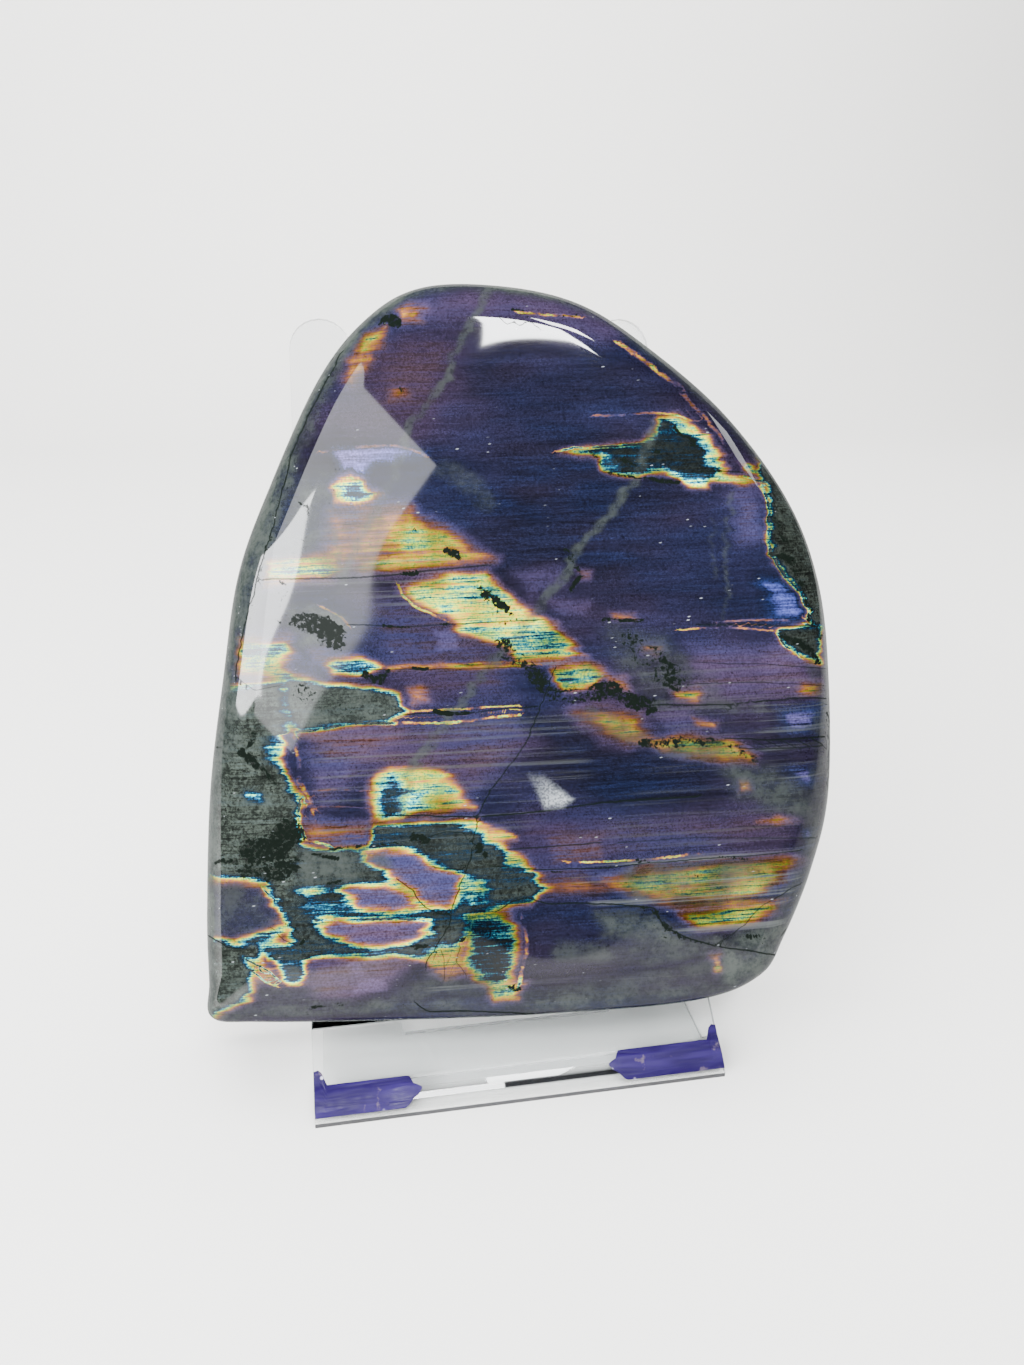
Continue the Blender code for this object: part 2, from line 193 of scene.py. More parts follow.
# Noises in the stone, with how many features to a metre, detail and roughness. The layers' own are stretched
# along them, and the layers lie at a turn in the stone's plane
LAYER_TURN = radians(7.0)
LAYER_NOISES = {
    "broad": ((22, 520, 60), 3.0, 0.6),
    "fine": ((130, 2600, 260), 2.0, 0.6),
    "stripes": ((10, 760, 40), 3.0, 0.55),
    "drift": ((14, 34, 20), 3.0, 0.6),
}
EVEN_NOISES = {
    "grain": (1700.0, 2.0, 0.6),
    "flecks": (900.0, 3.0, 0.7),
    "cloud": (130.0, 4.0, 0.62),
    "patches": (75.0, 2.0, 0.5),
    "clusters": (70.0, 3.0, 0.6),
}

# The sides and the back: how fully the grey matrix hides the flash, over 1 to close its thin places, how
# brightly they show, the depths of the back's matrix and of its pools of flash, and the most soot
SIDE_VEIL, SIDE_GLEAM = 1.7, 0.85
BACK_MATRIX, BACK_POOL, BACK_SOOT = 0.12, 0.86, 0.5
# How much of its gloss the stone loses at its rim, where it turns down and where it turns right
RIM_DULL, DOWN_DULL, RIGHT_DULL = 0.8, 0.75, 0.65

# Noise that pushes the markings about: (width and height of its cells, how far it pushes, seed), in pixels
WOBBLES = (((46, 30), 3.0, 11), ((17, 9), 2.0, 12), ((30, 5), 2.6, 14), ((7, 3.5), 1.2, 13))
# How far a fine line reaches on the mesh in pixels, and where a point counts as far from it, in line widths
LINE_REACH = 7.0
FAR = 9.0

# Markings on the polished face. Every point is where it shows in the photograph, in pixels of the
# 1024 x 1365 frame, read one by one
# A patch of flash or matrix: (depth, edge width, gleam, outline)
PATCHES = {
    "top_violet": (0.83, 20, 1.5, ((420, 300), (470, 286), (560, 294), (640, 330), (600, 345), (500, 318),
        (430, 322))),
    "upper_left_bronze": (0.765, 34, 0.7, ((352, 400), (372, 345), (430, 330), (462, 345), (440, 400),
        (412, 432), (372, 420))),
    "left_violet": (0.79, 24, 0.85, ((350, 590), (440, 592), (500, 650), (520, 700), (420, 702),
        (380, 668))),
    "mauve_field": (0.775, 20, 1.0, ((306, 728), (400, 722), (520, 712), (540, 740), (500, 770), (470, 800),
        (440, 770), (366, 772), (320, 812), (308, 780))),
    "mauve_corner": (0.73, 14, 1.15, ((310, 730), (400, 730), (392, 752), (330, 756))),
    "blue_in_field": (0.82, 9, 1.5, ((314, 762), (345, 762), (343, 786), (318, 790))),
    "slate_violet": (0.80, 26, 0.9, ((520, 812), (760, 800), (800, 845), (640, 866), (520, 870))),
    "navy_pool": (0.935, 26, 0.85, ((530, 712), (600, 745), (700, 765), (716, 800), (620, 806), (560, 780))),
    "violet_strips": (0.80, 20, 1.4, ((690, 640), (816, 640), (822, 700), (700, 700))),
    "lavender_strips": (0.985, 16, 1.5, ((772, 706), (822, 704), (818, 738), (780, 736))),
    "lilac_edge": (0.78, 14, 1.25, ((726, 490), (756, 486), (764, 540), (740, 545))),
    "blue_glow_edge": (SHEEN, 14, 1.5, ((758, 578), (784, 580), (800, 600), (808, 622), (770, 620))),
    "lavender_775": (0.99, 14, 1.7, ((784, 768), (816, 766), (816, 786), (800, 784))),
    "lavender_850": (0.99, 12, 1.7, ((790, 846), (812, 846), (808, 860), (792, 858))),
    "lavender_830": (0.985, 7, 1.4, ((800, 828), (812, 828), (812, 840), (802, 840))),
    "violet_570": (0.83, 14, 1.35, ((512, 572), (556, 566), (562, 588), (530, 596))),
    "violet_610": (0.83, 10, 1.4, ((548, 600), (588, 600), (584, 614), (560, 614))),
    "violet_720": (0.82, 12, 1.35, ((652, 708), (692, 708), (694, 730), (664, 728))),
    "violet_640": (0.82, 9, 1.7, ((436, 632), (456, 632), (458, 648), (440, 650))),
    "bottom_slate": (0.88, 20, 0.8, ((540, 950), (640, 944), (716, 950), (700, 976), (560, 990),
        (530, 980))),
    "indigo_pocket": (0.90, 14, 1.0, ((534, 922), (560, 914), (590, 926), (586, 958), (560, 968),
        (536, 962))),
    "brown_bank": (0.66, 14, 0.55, ((538, 874), (584, 872), (616, 890), (606, 900), (540, 896))),
    "left_margin": (MATRIX, 9, 1.0, ((240, 690), (284, 676), (284, 742), (270, 752), (290, 790), (304, 806),
        (298, 826), (300, 850), (330, 880), (300, 905), (282, 935), (262, 946), (250, 1000), (190, 1030),
        (190, 690))),
    "lower_left": (0.86, 11, 0.9, ((204, 878), (262, 884), (272, 900), (288, 924), (256, 936), (240, 944),
        (204, 936))),
    "slate_field": (0.16, 7, 0.75, ((292, 846), (366, 846), (372, 822), (478, 820), (500, 846), (532, 868),
        (546, 888), (534, 904), (500, 910), (470, 916), (452, 960), (300, 962), (290, 940), (284, 905),
        (296, 880))),
    "blue_hook": (SHEEN, 7, 2.3, ((330, 450), (400, 447), (424, 453), (404, 459), (374, 466), (360, 480),
        (340, 484), (330, 480), (340, 468))),
    "cyan_750": (0.36, 9, 1.6, ((262, 742), (280, 738), (284, 750), (276, 764), (264, 760))),
    "cyan_790": (0.34, 6, 1.2, ((242, 791), (262, 794), (260, 802), (244, 800))),
    "hook_curl": (0.40, 5, 1.3, ((330, 488), (336, 477), (350, 471), (361, 476), (366, 486), (381, 492),
        (372, 500), (350, 503), (334, 502))),
    "under_hook": (0.18, 6, 1.1, ((343, 489), (358, 485), (369, 494), (354, 500), (344, 498))),
    "pastel_flame": (0.61, 14, 1.0, ((328, 508), (408, 502), (410, 545), (362, 562), (345, 570), (296, 574),
        (290, 562), (322, 550))),
    "left_lines": (0.43, 10, 1.0, ((262, 562), (330, 556), (345, 566), (330, 578), (262, 588))),
    "upper_flame": (0.47, 12, 0.66, ((402, 510), (430, 520), (460, 536), (496, 558), (442, 566), (398, 570),
        (364, 572), (358, 560), (396, 546), (400, 530))),
    "bright_band": (0.425, 8, 1.15, ((400, 584), (440, 573), (488, 569), (503, 588), (518, 602), (548, 622),
        (582, 655), (560, 662), (516, 662), (500, 646), (464, 634), (446, 616), (414, 602))),
    "bright_band_low": (0.44, 8, 0.9, ((552, 669), (584, 664), (602, 672), (598, 688), (566, 690))),
    "band_tail": (0.55, 7, 1.2, ((604, 674), (622, 678), (632, 690), (612, 688))),
    "left_glints": (0.385, 12, 1.2, ((240, 640), (284, 638), (290, 655), (280, 678), (242, 676))),
    "small_mauve": (0.70, 6, 0.9, ((304, 650), (326, 648), (328, 662), (310, 664))),
    "oval_pool": (0.25, 7, 1.0, ((322, 665), (332, 659), (360, 658), (380, 668), (366, 676), (332, 676))),
    "speckled_zone": (0.10, 7, 1.15, ((286, 676), (330, 684), (372, 688), (400, 696), (408, 712), (392, 722),
        (350, 726), (300, 734), (284, 724))),
    "line_668": (0.50, 4, 1.0, ((386, 667), (520, 664), (520, 668), (388, 671))),
    "tip_698": (0.60, 7, 1.2, ((410, 690), (424, 688), (434, 702), (416, 706))),
    "moon_patch": (0.435, 8, 1.0, ((366, 784), (376, 774), (390, 768), (415, 767), (438, 769), (452, 780),
        (462, 794), (474, 808), (440, 812), (405, 813), (368, 818))),
    "moon_core": (0.20, 7, 1.0, ((380, 786), (396, 778), (404, 790), (402, 814), (380, 816))),
    "moon_pool": (0.35, 6, 1.6, ((406, 795), (424, 793), (428, 806), (408, 810))),
    "below_glint": (0.41, 5, 1.2, ((456, 822), (478, 821), (480, 829), (462, 830))),
    "left_of_moon": (0.68, 8, 0.9, ((304, 820), (340, 822), (366, 820), (362, 840), (330, 846), (302, 842))),
    "yellow_spur": (0.48, 6, 1.0, ((476, 823), (498, 830), (516, 840), (492, 838), (474, 832))),
    "island_1": (VIOLET, 8, 1.75, ((362, 852), (385, 848), (414, 851), (428, 864), (462, 876), (460, 898),
        (450, 908), (424, 908), (408, 892), (392, 878), (374, 864))),
    "lemon_880": (0.42, 7, 0.8, ((464, 878), (484, 882), (490, 898), (472, 904), (462, 894))),
    "island_2": (VIOLET, 7, 1.8, ((340, 893), (352, 888), (385, 886), (404, 894), (418, 909), (390, 912),
        (362, 908))),
    "pool_900": (0.24, 6, 0.9, ((306, 904), (326, 902), (350, 905), (368, 912), (366, 918), (320, 918),
        (300, 912))),
    "tip_892": (0.42, 5, 1.1, ((297, 893), (316, 888), (333, 893), (308, 899))),
    "island_3": (VIOLET, 7, 1.75, ((314, 923), (335, 920), (380, 920), (430, 922), (434, 932), (410, 944),
        (385, 948), (355, 944), (328, 936))),
    "shelf_950": (0.18, 6, 0.9, ((300, 944), (345, 948), (392, 953), (440, 944), (440, 954), (392, 957),
        (310, 957))),
    "island_4": (0.77, 8, 1.15, ((308, 962), (330, 957), (395, 958), (412, 966), (385, 984), (350, 1000),
        (320, 1002), (308, 985))),
    "lilac_968": (0.82, 4, 2.2, ((350, 962), (362, 964), (360, 976), (350, 974))),
    "lilac_985": (0.81, 6, 2.2, ((358, 982), (386, 978), (382, 990), (360, 994))),
    "hook_pool": (0.20, 6, 1.0, ((260, 945), (275, 942), (302, 943), (304, 958), (303, 970), (306, 986),
        (290, 985), (280, 972), (268, 958))),
    "hook_rim": (0.56, 6, 1.0, ((244, 958), (262, 962), (282, 980), (278, 988), (250, 978))),
    "teal_pool": (0.262, 11, 0.26, ((466, 916), (484, 910), (508, 914), (520, 930), (520, 960), (514, 980),
        (496, 988), (478, 980), (466, 966), (472, 950), (466, 934))),
    "tan_crazed": (0.54, 7, 0.5, ((428, 950), (446, 944), (464, 946), (468, 972), (444, 980), (428, 968))),
    "gold_832": (0.50, 6, 1.0, ((484, 828), (500, 830), (514, 840), (500, 844), (486, 840))),
    "gold_858": (0.51, 6, 1.0, ((500, 854), (514, 854), (530, 866), (504, 866))),
    "lemon_992": (0.43, 8, 0.7, ((492, 986), (524, 982), (522, 1000), (496, 1002))),
    "yellow_veil": (0.50, 16, 0.36, ((574, 710), (600, 706), (640, 714), (648, 735), (625, 744), (600, 735),
        (584, 722))),
    "scaly_line": (0.47, 9, 0.45, ((636, 741), (680, 735), (730, 740), (756, 755), (750, 763), (700, 759),
        (660, 751))),
    "smudge_648": (0.57, 9, 0.8, ((640, 642), (664, 646), (660, 656), (642, 652))),
    "smudge_692": (0.52, 9, 0.7, ((672, 688), (700, 688), (698, 700), (674, 698))),
    "smudge_722": (0.60, 6, 1.0, ((696, 718), (718, 722), (714, 728), (698, 726))),
    "smudge_616": (0.56, 6, 0.9, ((610, 612), (634, 614), (632, 620), (612, 618))),
    "smudge_573": (0.64, 6, 0.9, ((574, 568), (590, 570), (588, 578), (574, 578))),
    "smudge_786": (0.55, 6, 0.8, ((738, 780), (750, 780), (752, 790), (740, 792))),
    "smudge_690": (0.57, 7, 0.7, ((800, 684), (818, 684), (818, 698), (804, 696))),
    "right_cluster": (0.20, 7, 0.46, ((560, 452), (590, 446), (643, 445), (656, 430), (660, 418), (676, 416),
        (694, 425), (708, 438), (716, 454), (724, 462), (714, 474), (708, 486), (694, 488), (680, 480),
        (667, 474), (650, 474), (638, 476), (622, 474), (604, 468), (594, 458), (578, 455))),
    "cluster_arch": (0.42, 6, 1.1, ((672, 417), (694, 426), (708, 438), (716, 454), (718, 466), (706, 466),
        (702, 448), (690, 434), (672, 424))),
    "cluster_glint": (0.37, 5, 2.0, ((667, 470), (684, 475), (708, 476), (706, 486), (690, 486))),
    "cluster_blue": (0.33, 5, 1.5, ((594, 452), (606, 454), (620, 468), (600, 466))),
    "cluster_spur": (0.50, 4, 1.2, ((712, 474), (740, 474), (762, 480), (742, 484), (714, 482))),
    "spur_end": (0.27, 5, 1.0, ((740, 462), (750, 464), (756, 472), (744, 470))),
    "right_matrix": (0.08, 7, 0.6, ((758, 478), (768, 498), (770, 520), (770, 540), (774, 556), (788, 576),
        (803, 600), (814, 628), (860, 640), (860, 500), (800, 430), (764, 440))),
    "right_notch": (0.12, 6, 0.6, ((780, 628), (816, 626), (822, 664), (804, 658), (788, 644))),
    "streak_zone": (0.43, 13, 0.34, ((604, 880), (650, 868), (720, 862), (790, 856), (800, 862), (784, 880),
        (740, 900), (690, 906), (640, 900))),
    "streak_zone_low": (0.41, 8, 0.5, ((676, 912), (720, 906), (784, 900), (776, 912), (740, 926),
        (700, 929))),
    "streak_core": (0.42, 9, 0.55, ((680, 891), (720, 884), (775, 877), (762, 892), (710, 901))),
    "corner_gold": (0.50, 5, 0.8, ((710, 954), (722, 954), (722, 974), (712, 974))),
    "pink_streak": (0.57, 4, 1.3, ((754, 820), (780, 817), (800, 821), (778, 824))),
    "top_left_gold": (0.51, 9, 1.0, ((398, 310), (408, 305), (426, 308), (424, 320), (404, 324))),
    "top_left_streak": (0.45, 10, 0.5, ((366, 336), (392, 326), (384, 340), (366, 356), (352, 360))),
    "top_left_amber": (0.55, 11, 0.7, ((342, 380), (350, 366), (368, 358), (364, 372), (350, 384))),
    "spot_393": (0.58, 7, 0.9, ((384, 392), (398, 388), (404, 396), (390, 400))),
    "pale_quad": (0.74, 5, 0.9, ((548, 838), (604, 832), (602, 858), (552, 862))),
}

# A zone streaked along the layers: (strength, edge width, outline)
STREAKED = {
    "right_side": (0.5, 34, ((590, 650), (700, 636), (826, 640), (830, 760), (822, 860), (790, 920),
        (700, 950), (600, 940), (560, 880), (600, 800), (650, 740))),
    "lower_right": (1.0, 16, ((560, 872), (640, 856), (800, 846), (806, 880), (780, 930), (700, 936),
        (600, 920))),
    "right_edge": (0.75, 20, ((740, 690), (826, 684), (828, 800), (760, 780))),
    "violet_field": (0.6, 30, ((300, 730), (520, 700), (600, 700), (600, 800), (480, 860), (300, 860))),
    "bright_bands": (0.7, 24, ((262, 556), (350, 500), (480, 560), (590, 690), (480, 650), (360, 600),
        (262, 600))),
    "foot": (0.7, 24, ((420, 965), (540, 975), (720, 950), (700, 985), (420, 1010))),
}

# A fine line of flash: (width, strength, path)
SEAMS = {
    "hook_top": (3.0, 0.9, ((322, 452), (345, 448), (395, 446), (412, 450), (424, 456))),
    "top_specks": (3.0, 1.0, ((518, 312), (545, 314), (580, 317))),
    "edge_flame": (5.0, 1.0, ((619, 343), (636, 355), (650, 365), (665, 377), (678, 386))),
    "edge_flame_low": (4.0, 0.7, ((684, 396), (701, 413), (716, 430), (722, 440))),
    "edge_gold": (4.0, 1.0, ((757, 483), (766, 496), (769, 515), (768, 544), (776, 561), (786, 578))),
    "edge_amber": (4.0, 0.8, ((786, 578), (798, 591), (806, 606), (811, 622))),
    "spur_line": (2.2, 1.0, ((711, 477), (740, 475), (762, 482))),
    "cluster_whisker": (2.4, 0.7, ((594, 416), (631, 415), (657, 413), (677, 415), (694, 421))),
    "cluster_top": (2.4, 1.0, ((556, 452), (573, 448), (610, 446), (645, 444))),
    "line_622": (2.4, 0.9, ((718, 622), (760, 620), (791, 621), (812, 626))),
    "line_630": (2.4, 1.0, ((680, 630), (720, 628), (781, 631))),
    "notch_edge": (2.6, 1.0, ((779, 634), (786, 646), (800, 656))),
    "rim_724": (3.0, 1.0, ((282, 733), (312, 731), (353, 724), (402, 723), (458, 722), (520, 714))),
    "line_706": (2.2, 1.0, ((378, 706), (404, 712), (440, 710), (471, 708), (520, 705))),
    "line_861": (2.4, 1.0, ((566, 862), (600, 862), (643, 860), (700, 854))),
    "rim_742": (5.0, 1.0, ((294, 738), (298, 756), (297, 780), (304, 792), (312, 806), (314, 816))),
    "rim_819": (3.0, 0.9, ((300, 800), (300, 819), (304, 838), (330, 846))),
    "hook_line_a": (2.0, 1.0, ((246, 960), (262, 968), (280, 980))),
    "hook_line_b": (2.0, 0.8, ((252, 972), (266, 982), (278, 987))),
    "tip_lines": (2.0, 0.9, ((262, 888), (272, 898), (280, 910))),
    "teal_edge": (4.0, 0.9, ((524, 918), (528, 940), (526, 962), (520, 984))),
    "island_top": (2.4, 0.8, ((315, 921), (350, 919), (400, 919), (432, 922))),
    "field_line": (2.0, 0.5, ((308, 792), (340, 790), (366, 790))),
    "field_line_b": (2.0, 0.5, ((312, 808), (340, 806), (366, 808))),
    "band_edge": (2.6, 0.7, ((398, 584), (404, 596), (414, 606), (444, 620))),
    "lump_edge": (3.0, 1.0, ((322, 606), (338, 616), (348, 626))),
    "spot_line": (2.0, 0.5, ((540, 664), (500, 662), (470, 664))),
}

# A grey-green healed fracture or haze along a path: (width, strength, path)
VEILS = {
    "vein_top": (6, 0.62, ((493, 287), (478, 314), (464, 333), (450, 360), (442, 384), (430, 396),
        (423, 415), (408, 432), (400, 455), (384, 488), (372, 517), (362, 539), (350, 561), (345, 575))),
    "vein_left": (5, 0.5, ((335, 532), (340, 561), (342, 590))),
    "vein_middle": (7, 0.60, ((657, 425), (648, 449), (634, 476), (616, 500), (592, 532), (573, 556),
        (556, 583), (536, 609), (512, 640), (486, 671), (460, 704), (440, 730), (412, 768), (402, 812))),
    "vein_right": (3, 0.40, ((730, 493), (725, 585), (722, 619))),
    "vein_right_b": (2.5, 0.25, ((713, 520), (711, 580))),
    "bottom_rim": (10, 0.6, ((205, 1015), (350, 1008), (500, 1008), (640, 998), (740, 984))),
    "bottom_haze": (14, 0.4, ((400, 998), (440, 985), (520, 1000), (640, 984), (720, 968))),
    "left_rim": (8, 0.4, ((212, 760), (206, 860), (206, 960), (210, 1015))),
    "lower_left_haze": (22, 0.3, ((235, 985), (260, 1000), (330, 1004))),
    "band_gap": (7, 0.7, ((584, 668), (596, 676))),
    "right_haze": (30, 0.3, ((620, 640), (670, 665), (700, 690))),
    "crack_haze": (9, 0.4, ((760, 706), (728, 705), (660, 704))),
    "streak_veil": (30, 0.6, ((640, 884), (700, 882), (760, 884))),
    "yellow_haze": (14, 0.4, ((590, 716), (620, 728), (640, 738))),
    "streak_haze": (14, 0.5, ((560, 950), (640, 956), (720, 945))),
    "edge_haze": (12, 0.4, ((816, 640), (822, 720), (820, 800), (806, 870), (780, 915))),
    "top_rim": (6, 0.5, ((360, 330), (400, 298), (450, 286), (500, 286), (560, 294), (620, 316),
        (680, 366))),
    "patch_rough": (16, 0.35, ((446, 470), (476, 486), (484, 500))),
}

# The same over an area: (strength, edge width, outline)
VEIL_PATCHES = {
    "left_shoulder": (0.92, 8, ((330, 322), (338, 368), (304, 446), (286, 500), (266, 560), (252, 620),
        (244, 660), (238, 700), (236, 760), (190, 780), (190, 600), (230, 420), (300, 310))),
    "window_matrix": (0.75, 9, ((306, 466), (328, 470), (334, 500), (324, 540), (296, 556), (276, 562))),
    "slate_corner": (0.7, 14, ((724, 762), (770, 770), (816, 796), (824, 826), (790, 815), (740, 795))),
    "dark_shelf": (0.8, 7, ((298, 848), (364, 848), (384, 852), (392, 868), (350, 884), (298, 888))),
    "dark_lump": (0.85, 7, ((294, 604), (320, 606), (338, 616), (346, 628), (340, 644), (300, 646),
        (286, 626))),
    "lower_left": (0.5, 12, ((204, 878), (262, 886), (276, 910), (284, 924), (256, 936), (204, 944))),
    "grey_bank": (0.75, 10, ((598, 914), (655, 914), (672, 934), (716, 946), (660, 948), (604, 936))),
    "dark_corner": (0.9, 10, ((718, 938), (760, 925), (800, 905), (800, 990), (716, 990), (722, 960))),
    "speckled_zone": (0.6, 8, ((286, 678), (330, 686), (400, 698), (392, 720), (300, 730))),
    "right_dots": (0.45, 14, ((618, 632), (668, 636), (690, 692), (640, 688), (606, 650))),
    "scaly": (0.5, 8, ((640, 742), (724, 740), (750, 756), (700, 758), (660, 752))),
}

# Black-green inclusions, sooty where the strength is under 1: (width, strength, path)
SOOT = {
    "band_specks": (38, 0.5, ((470, 590), (500, 612), (530, 640), (560, 670))),
    "face_specks": (60, 0.30, ((330, 700), (460, 860), (420, 960))),
    "right_specks": (60, 0.28, ((620, 560), (700, 660), (640, 900))),
    "field_specks": (30, 0.4, ((300, 838), (400, 832), (500, 880), (470, 950))),
    "band_foot": (17, 0.74, ((500, 644), (510, 656), (530, 670), (546, 682), (560, 692), (590, 696))),
    "band_foot_heavy": (17, 0.82, ((592, 694), (612, 690), (630, 698), (650, 706))),
    "blot_447": (7, 0.9, ((446, 550), (458, 555))),
    "blot_412": (4, 0.9, ((410, 527), (418, 532))),
    "blot_406": (4, 1.0, ((398, 572), (414, 571))),
    "lump_320": (22, 0.95, ((300, 622), (318, 628), (336, 640))),
    "dots_625": (4, 0.95, ((382, 625), (406, 625))),
    "dots_625_b": (4, 1.0, ((438, 625), (448, 625))),
    "blot_490": (9, 0.9, ((478, 588), (488, 598), (500, 606))),
    "blots_377": (8, 1.0, ((364, 674), (372, 680))),
    "blots_390": (7, 1.0, ((380, 682), (390, 672))),
    "dashes_716": (4, 1.0, ((438, 711), (455, 713), (471, 711))),
    "line_668": (3, 1.0, ((417, 670), (432, 670))),
    "blob_421": (6, 1.0, ((414, 835), (428, 840))),
    "blob_480": (7, 1.0, ((480, 846), (482, 856))),
    "line_842": (3, 0.75, ((328, 847), (369, 843), (409, 842))),
    "line_865": (3, 0.8, ((538, 869), (571, 870))),
    "dash_862": (4, 0.95, ((638, 862), (653, 862))),
    "dash_858": (3, 0.9, ((719, 858), (745, 859))),
    "dash_875": (3, 1.0, ((698, 875), (706, 875))),
    "left_soot": (28, 0.86, ((250, 852), (274, 847), (290, 830))),
    "left_soot_b": (20, 0.78, ((246, 872), (270, 874), (292, 866))),
    "left_blot": (5, 1.0, ((213, 863), (230, 862))),
    "blot_750": (4, 0.9, ((218, 749), (231, 750))),
    "ledge_soot": (7, 0.85, ((244, 752), (256, 764), (270, 784))),
    "ledge_750": (8, 0.75, ((256, 724), (248, 744))),
    "spots_650": (28, 0.64, ((628, 640), (652, 660), (680, 684))),
    "spots_676": (9, 0.8, ((664, 656), (672, 672), (676, 688))),
    "dots_615": (5, 0.9, ((604, 619), (636, 620))),
    "dots_570": (7, 0.7, ((566, 552), (578, 570), (570, 590))),
    "scale_line": (11, 0.72, ((640, 744), (690, 740), (722, 742), (755, 760))),
    "crack_soot": (5, 0.85, ((640, 908), (655, 912), (664, 926), (690, 938), (717, 947))),
    "grey_soot": (18, 0.5, ((604, 915), (640, 930), (670, 938))),
    "black_eye": (8, 1.0, ((783, 556), (792, 560))),
    "edge_soot": (7, 0.75, ((776, 520), (800, 580), (818, 640))),
    "notch_soot": (8, 0.85, ((786, 636), (806, 646), (818, 660))),
    "cluster_slit": (5, 1.0, ((677, 427), (690, 442), (699, 452))),
    "cluster_dots": (4, 0.85, ((583, 450), (590, 456), (606, 470), (640, 478), (680, 484))),
    "cluster_eye": (5, 1.0, ((622, 460), (630, 464))),
    "cluster_eye_b": (4, 0.9, ((648, 452), (660, 455))),
    "spur_dots": (4, 0.8, ((706, 471), (722, 471), (712, 489))),
    "top_left_blot": (8, 1.0, ((384, 321), (394, 320), (401, 325))),
    "spot_397": (4, 1.0, ((395, 389), (398, 392))),
    "top_specks": (3.5, 0.9, ((511, 308), (526, 308))),
    "top_specks_b": (3.5, 0.9, ((560, 316), (578, 316))),
    "bottom_blots": (4, 1.0, ((310, 1008), (325, 1009))),
    "bottom_blots_2": (3, 1.0, ((336, 1006), (346, 1006))),
    "bottom_blots_3": (3, 1.0, ((403, 1005), (406, 1005))),
    "shelf_blots": (4, 0.95, ((312, 854), (323, 856), (334, 858))),
    "shelf_blot_b": (4, 0.95, ((328, 884), (338, 882))),
    "hook_soot": (5, 0.8, ((286, 925), (300, 935), (304, 950))),
    "rim_dots": (5, 0.6, ((330, 372), (300, 430), (280, 490), (262, 560), (248, 620))),
    "left_marks": (16, 0.52, ((336, 440), (330, 500), (290, 560), (280, 620))),
    "marks_508": (6, 0.8, ((300, 504), (304, 512))),
    "marks_575": (3, 0.9, ((282, 582), (290, 586))),
    "zone_specks": (24, 0.62, ((300, 690), (330, 704), (350, 712))),
    "soot_990": (6, 0.9, ((510, 986), (520, 990))),
    "corner_soot": (8, 0.6, ((744, 936), (760, 940), (770, 930))),
    "blot_934": (4, 1.0, ((746, 936), (760, 934))),
    "dots_946": (4, 0.9, ((416, 947), (428, 946))),
    "soot_938": (5, 0.8, ((452, 940), (466, 936))),
    "edge_dots": (4, 0.7, ((826, 700), (827, 760))),
}

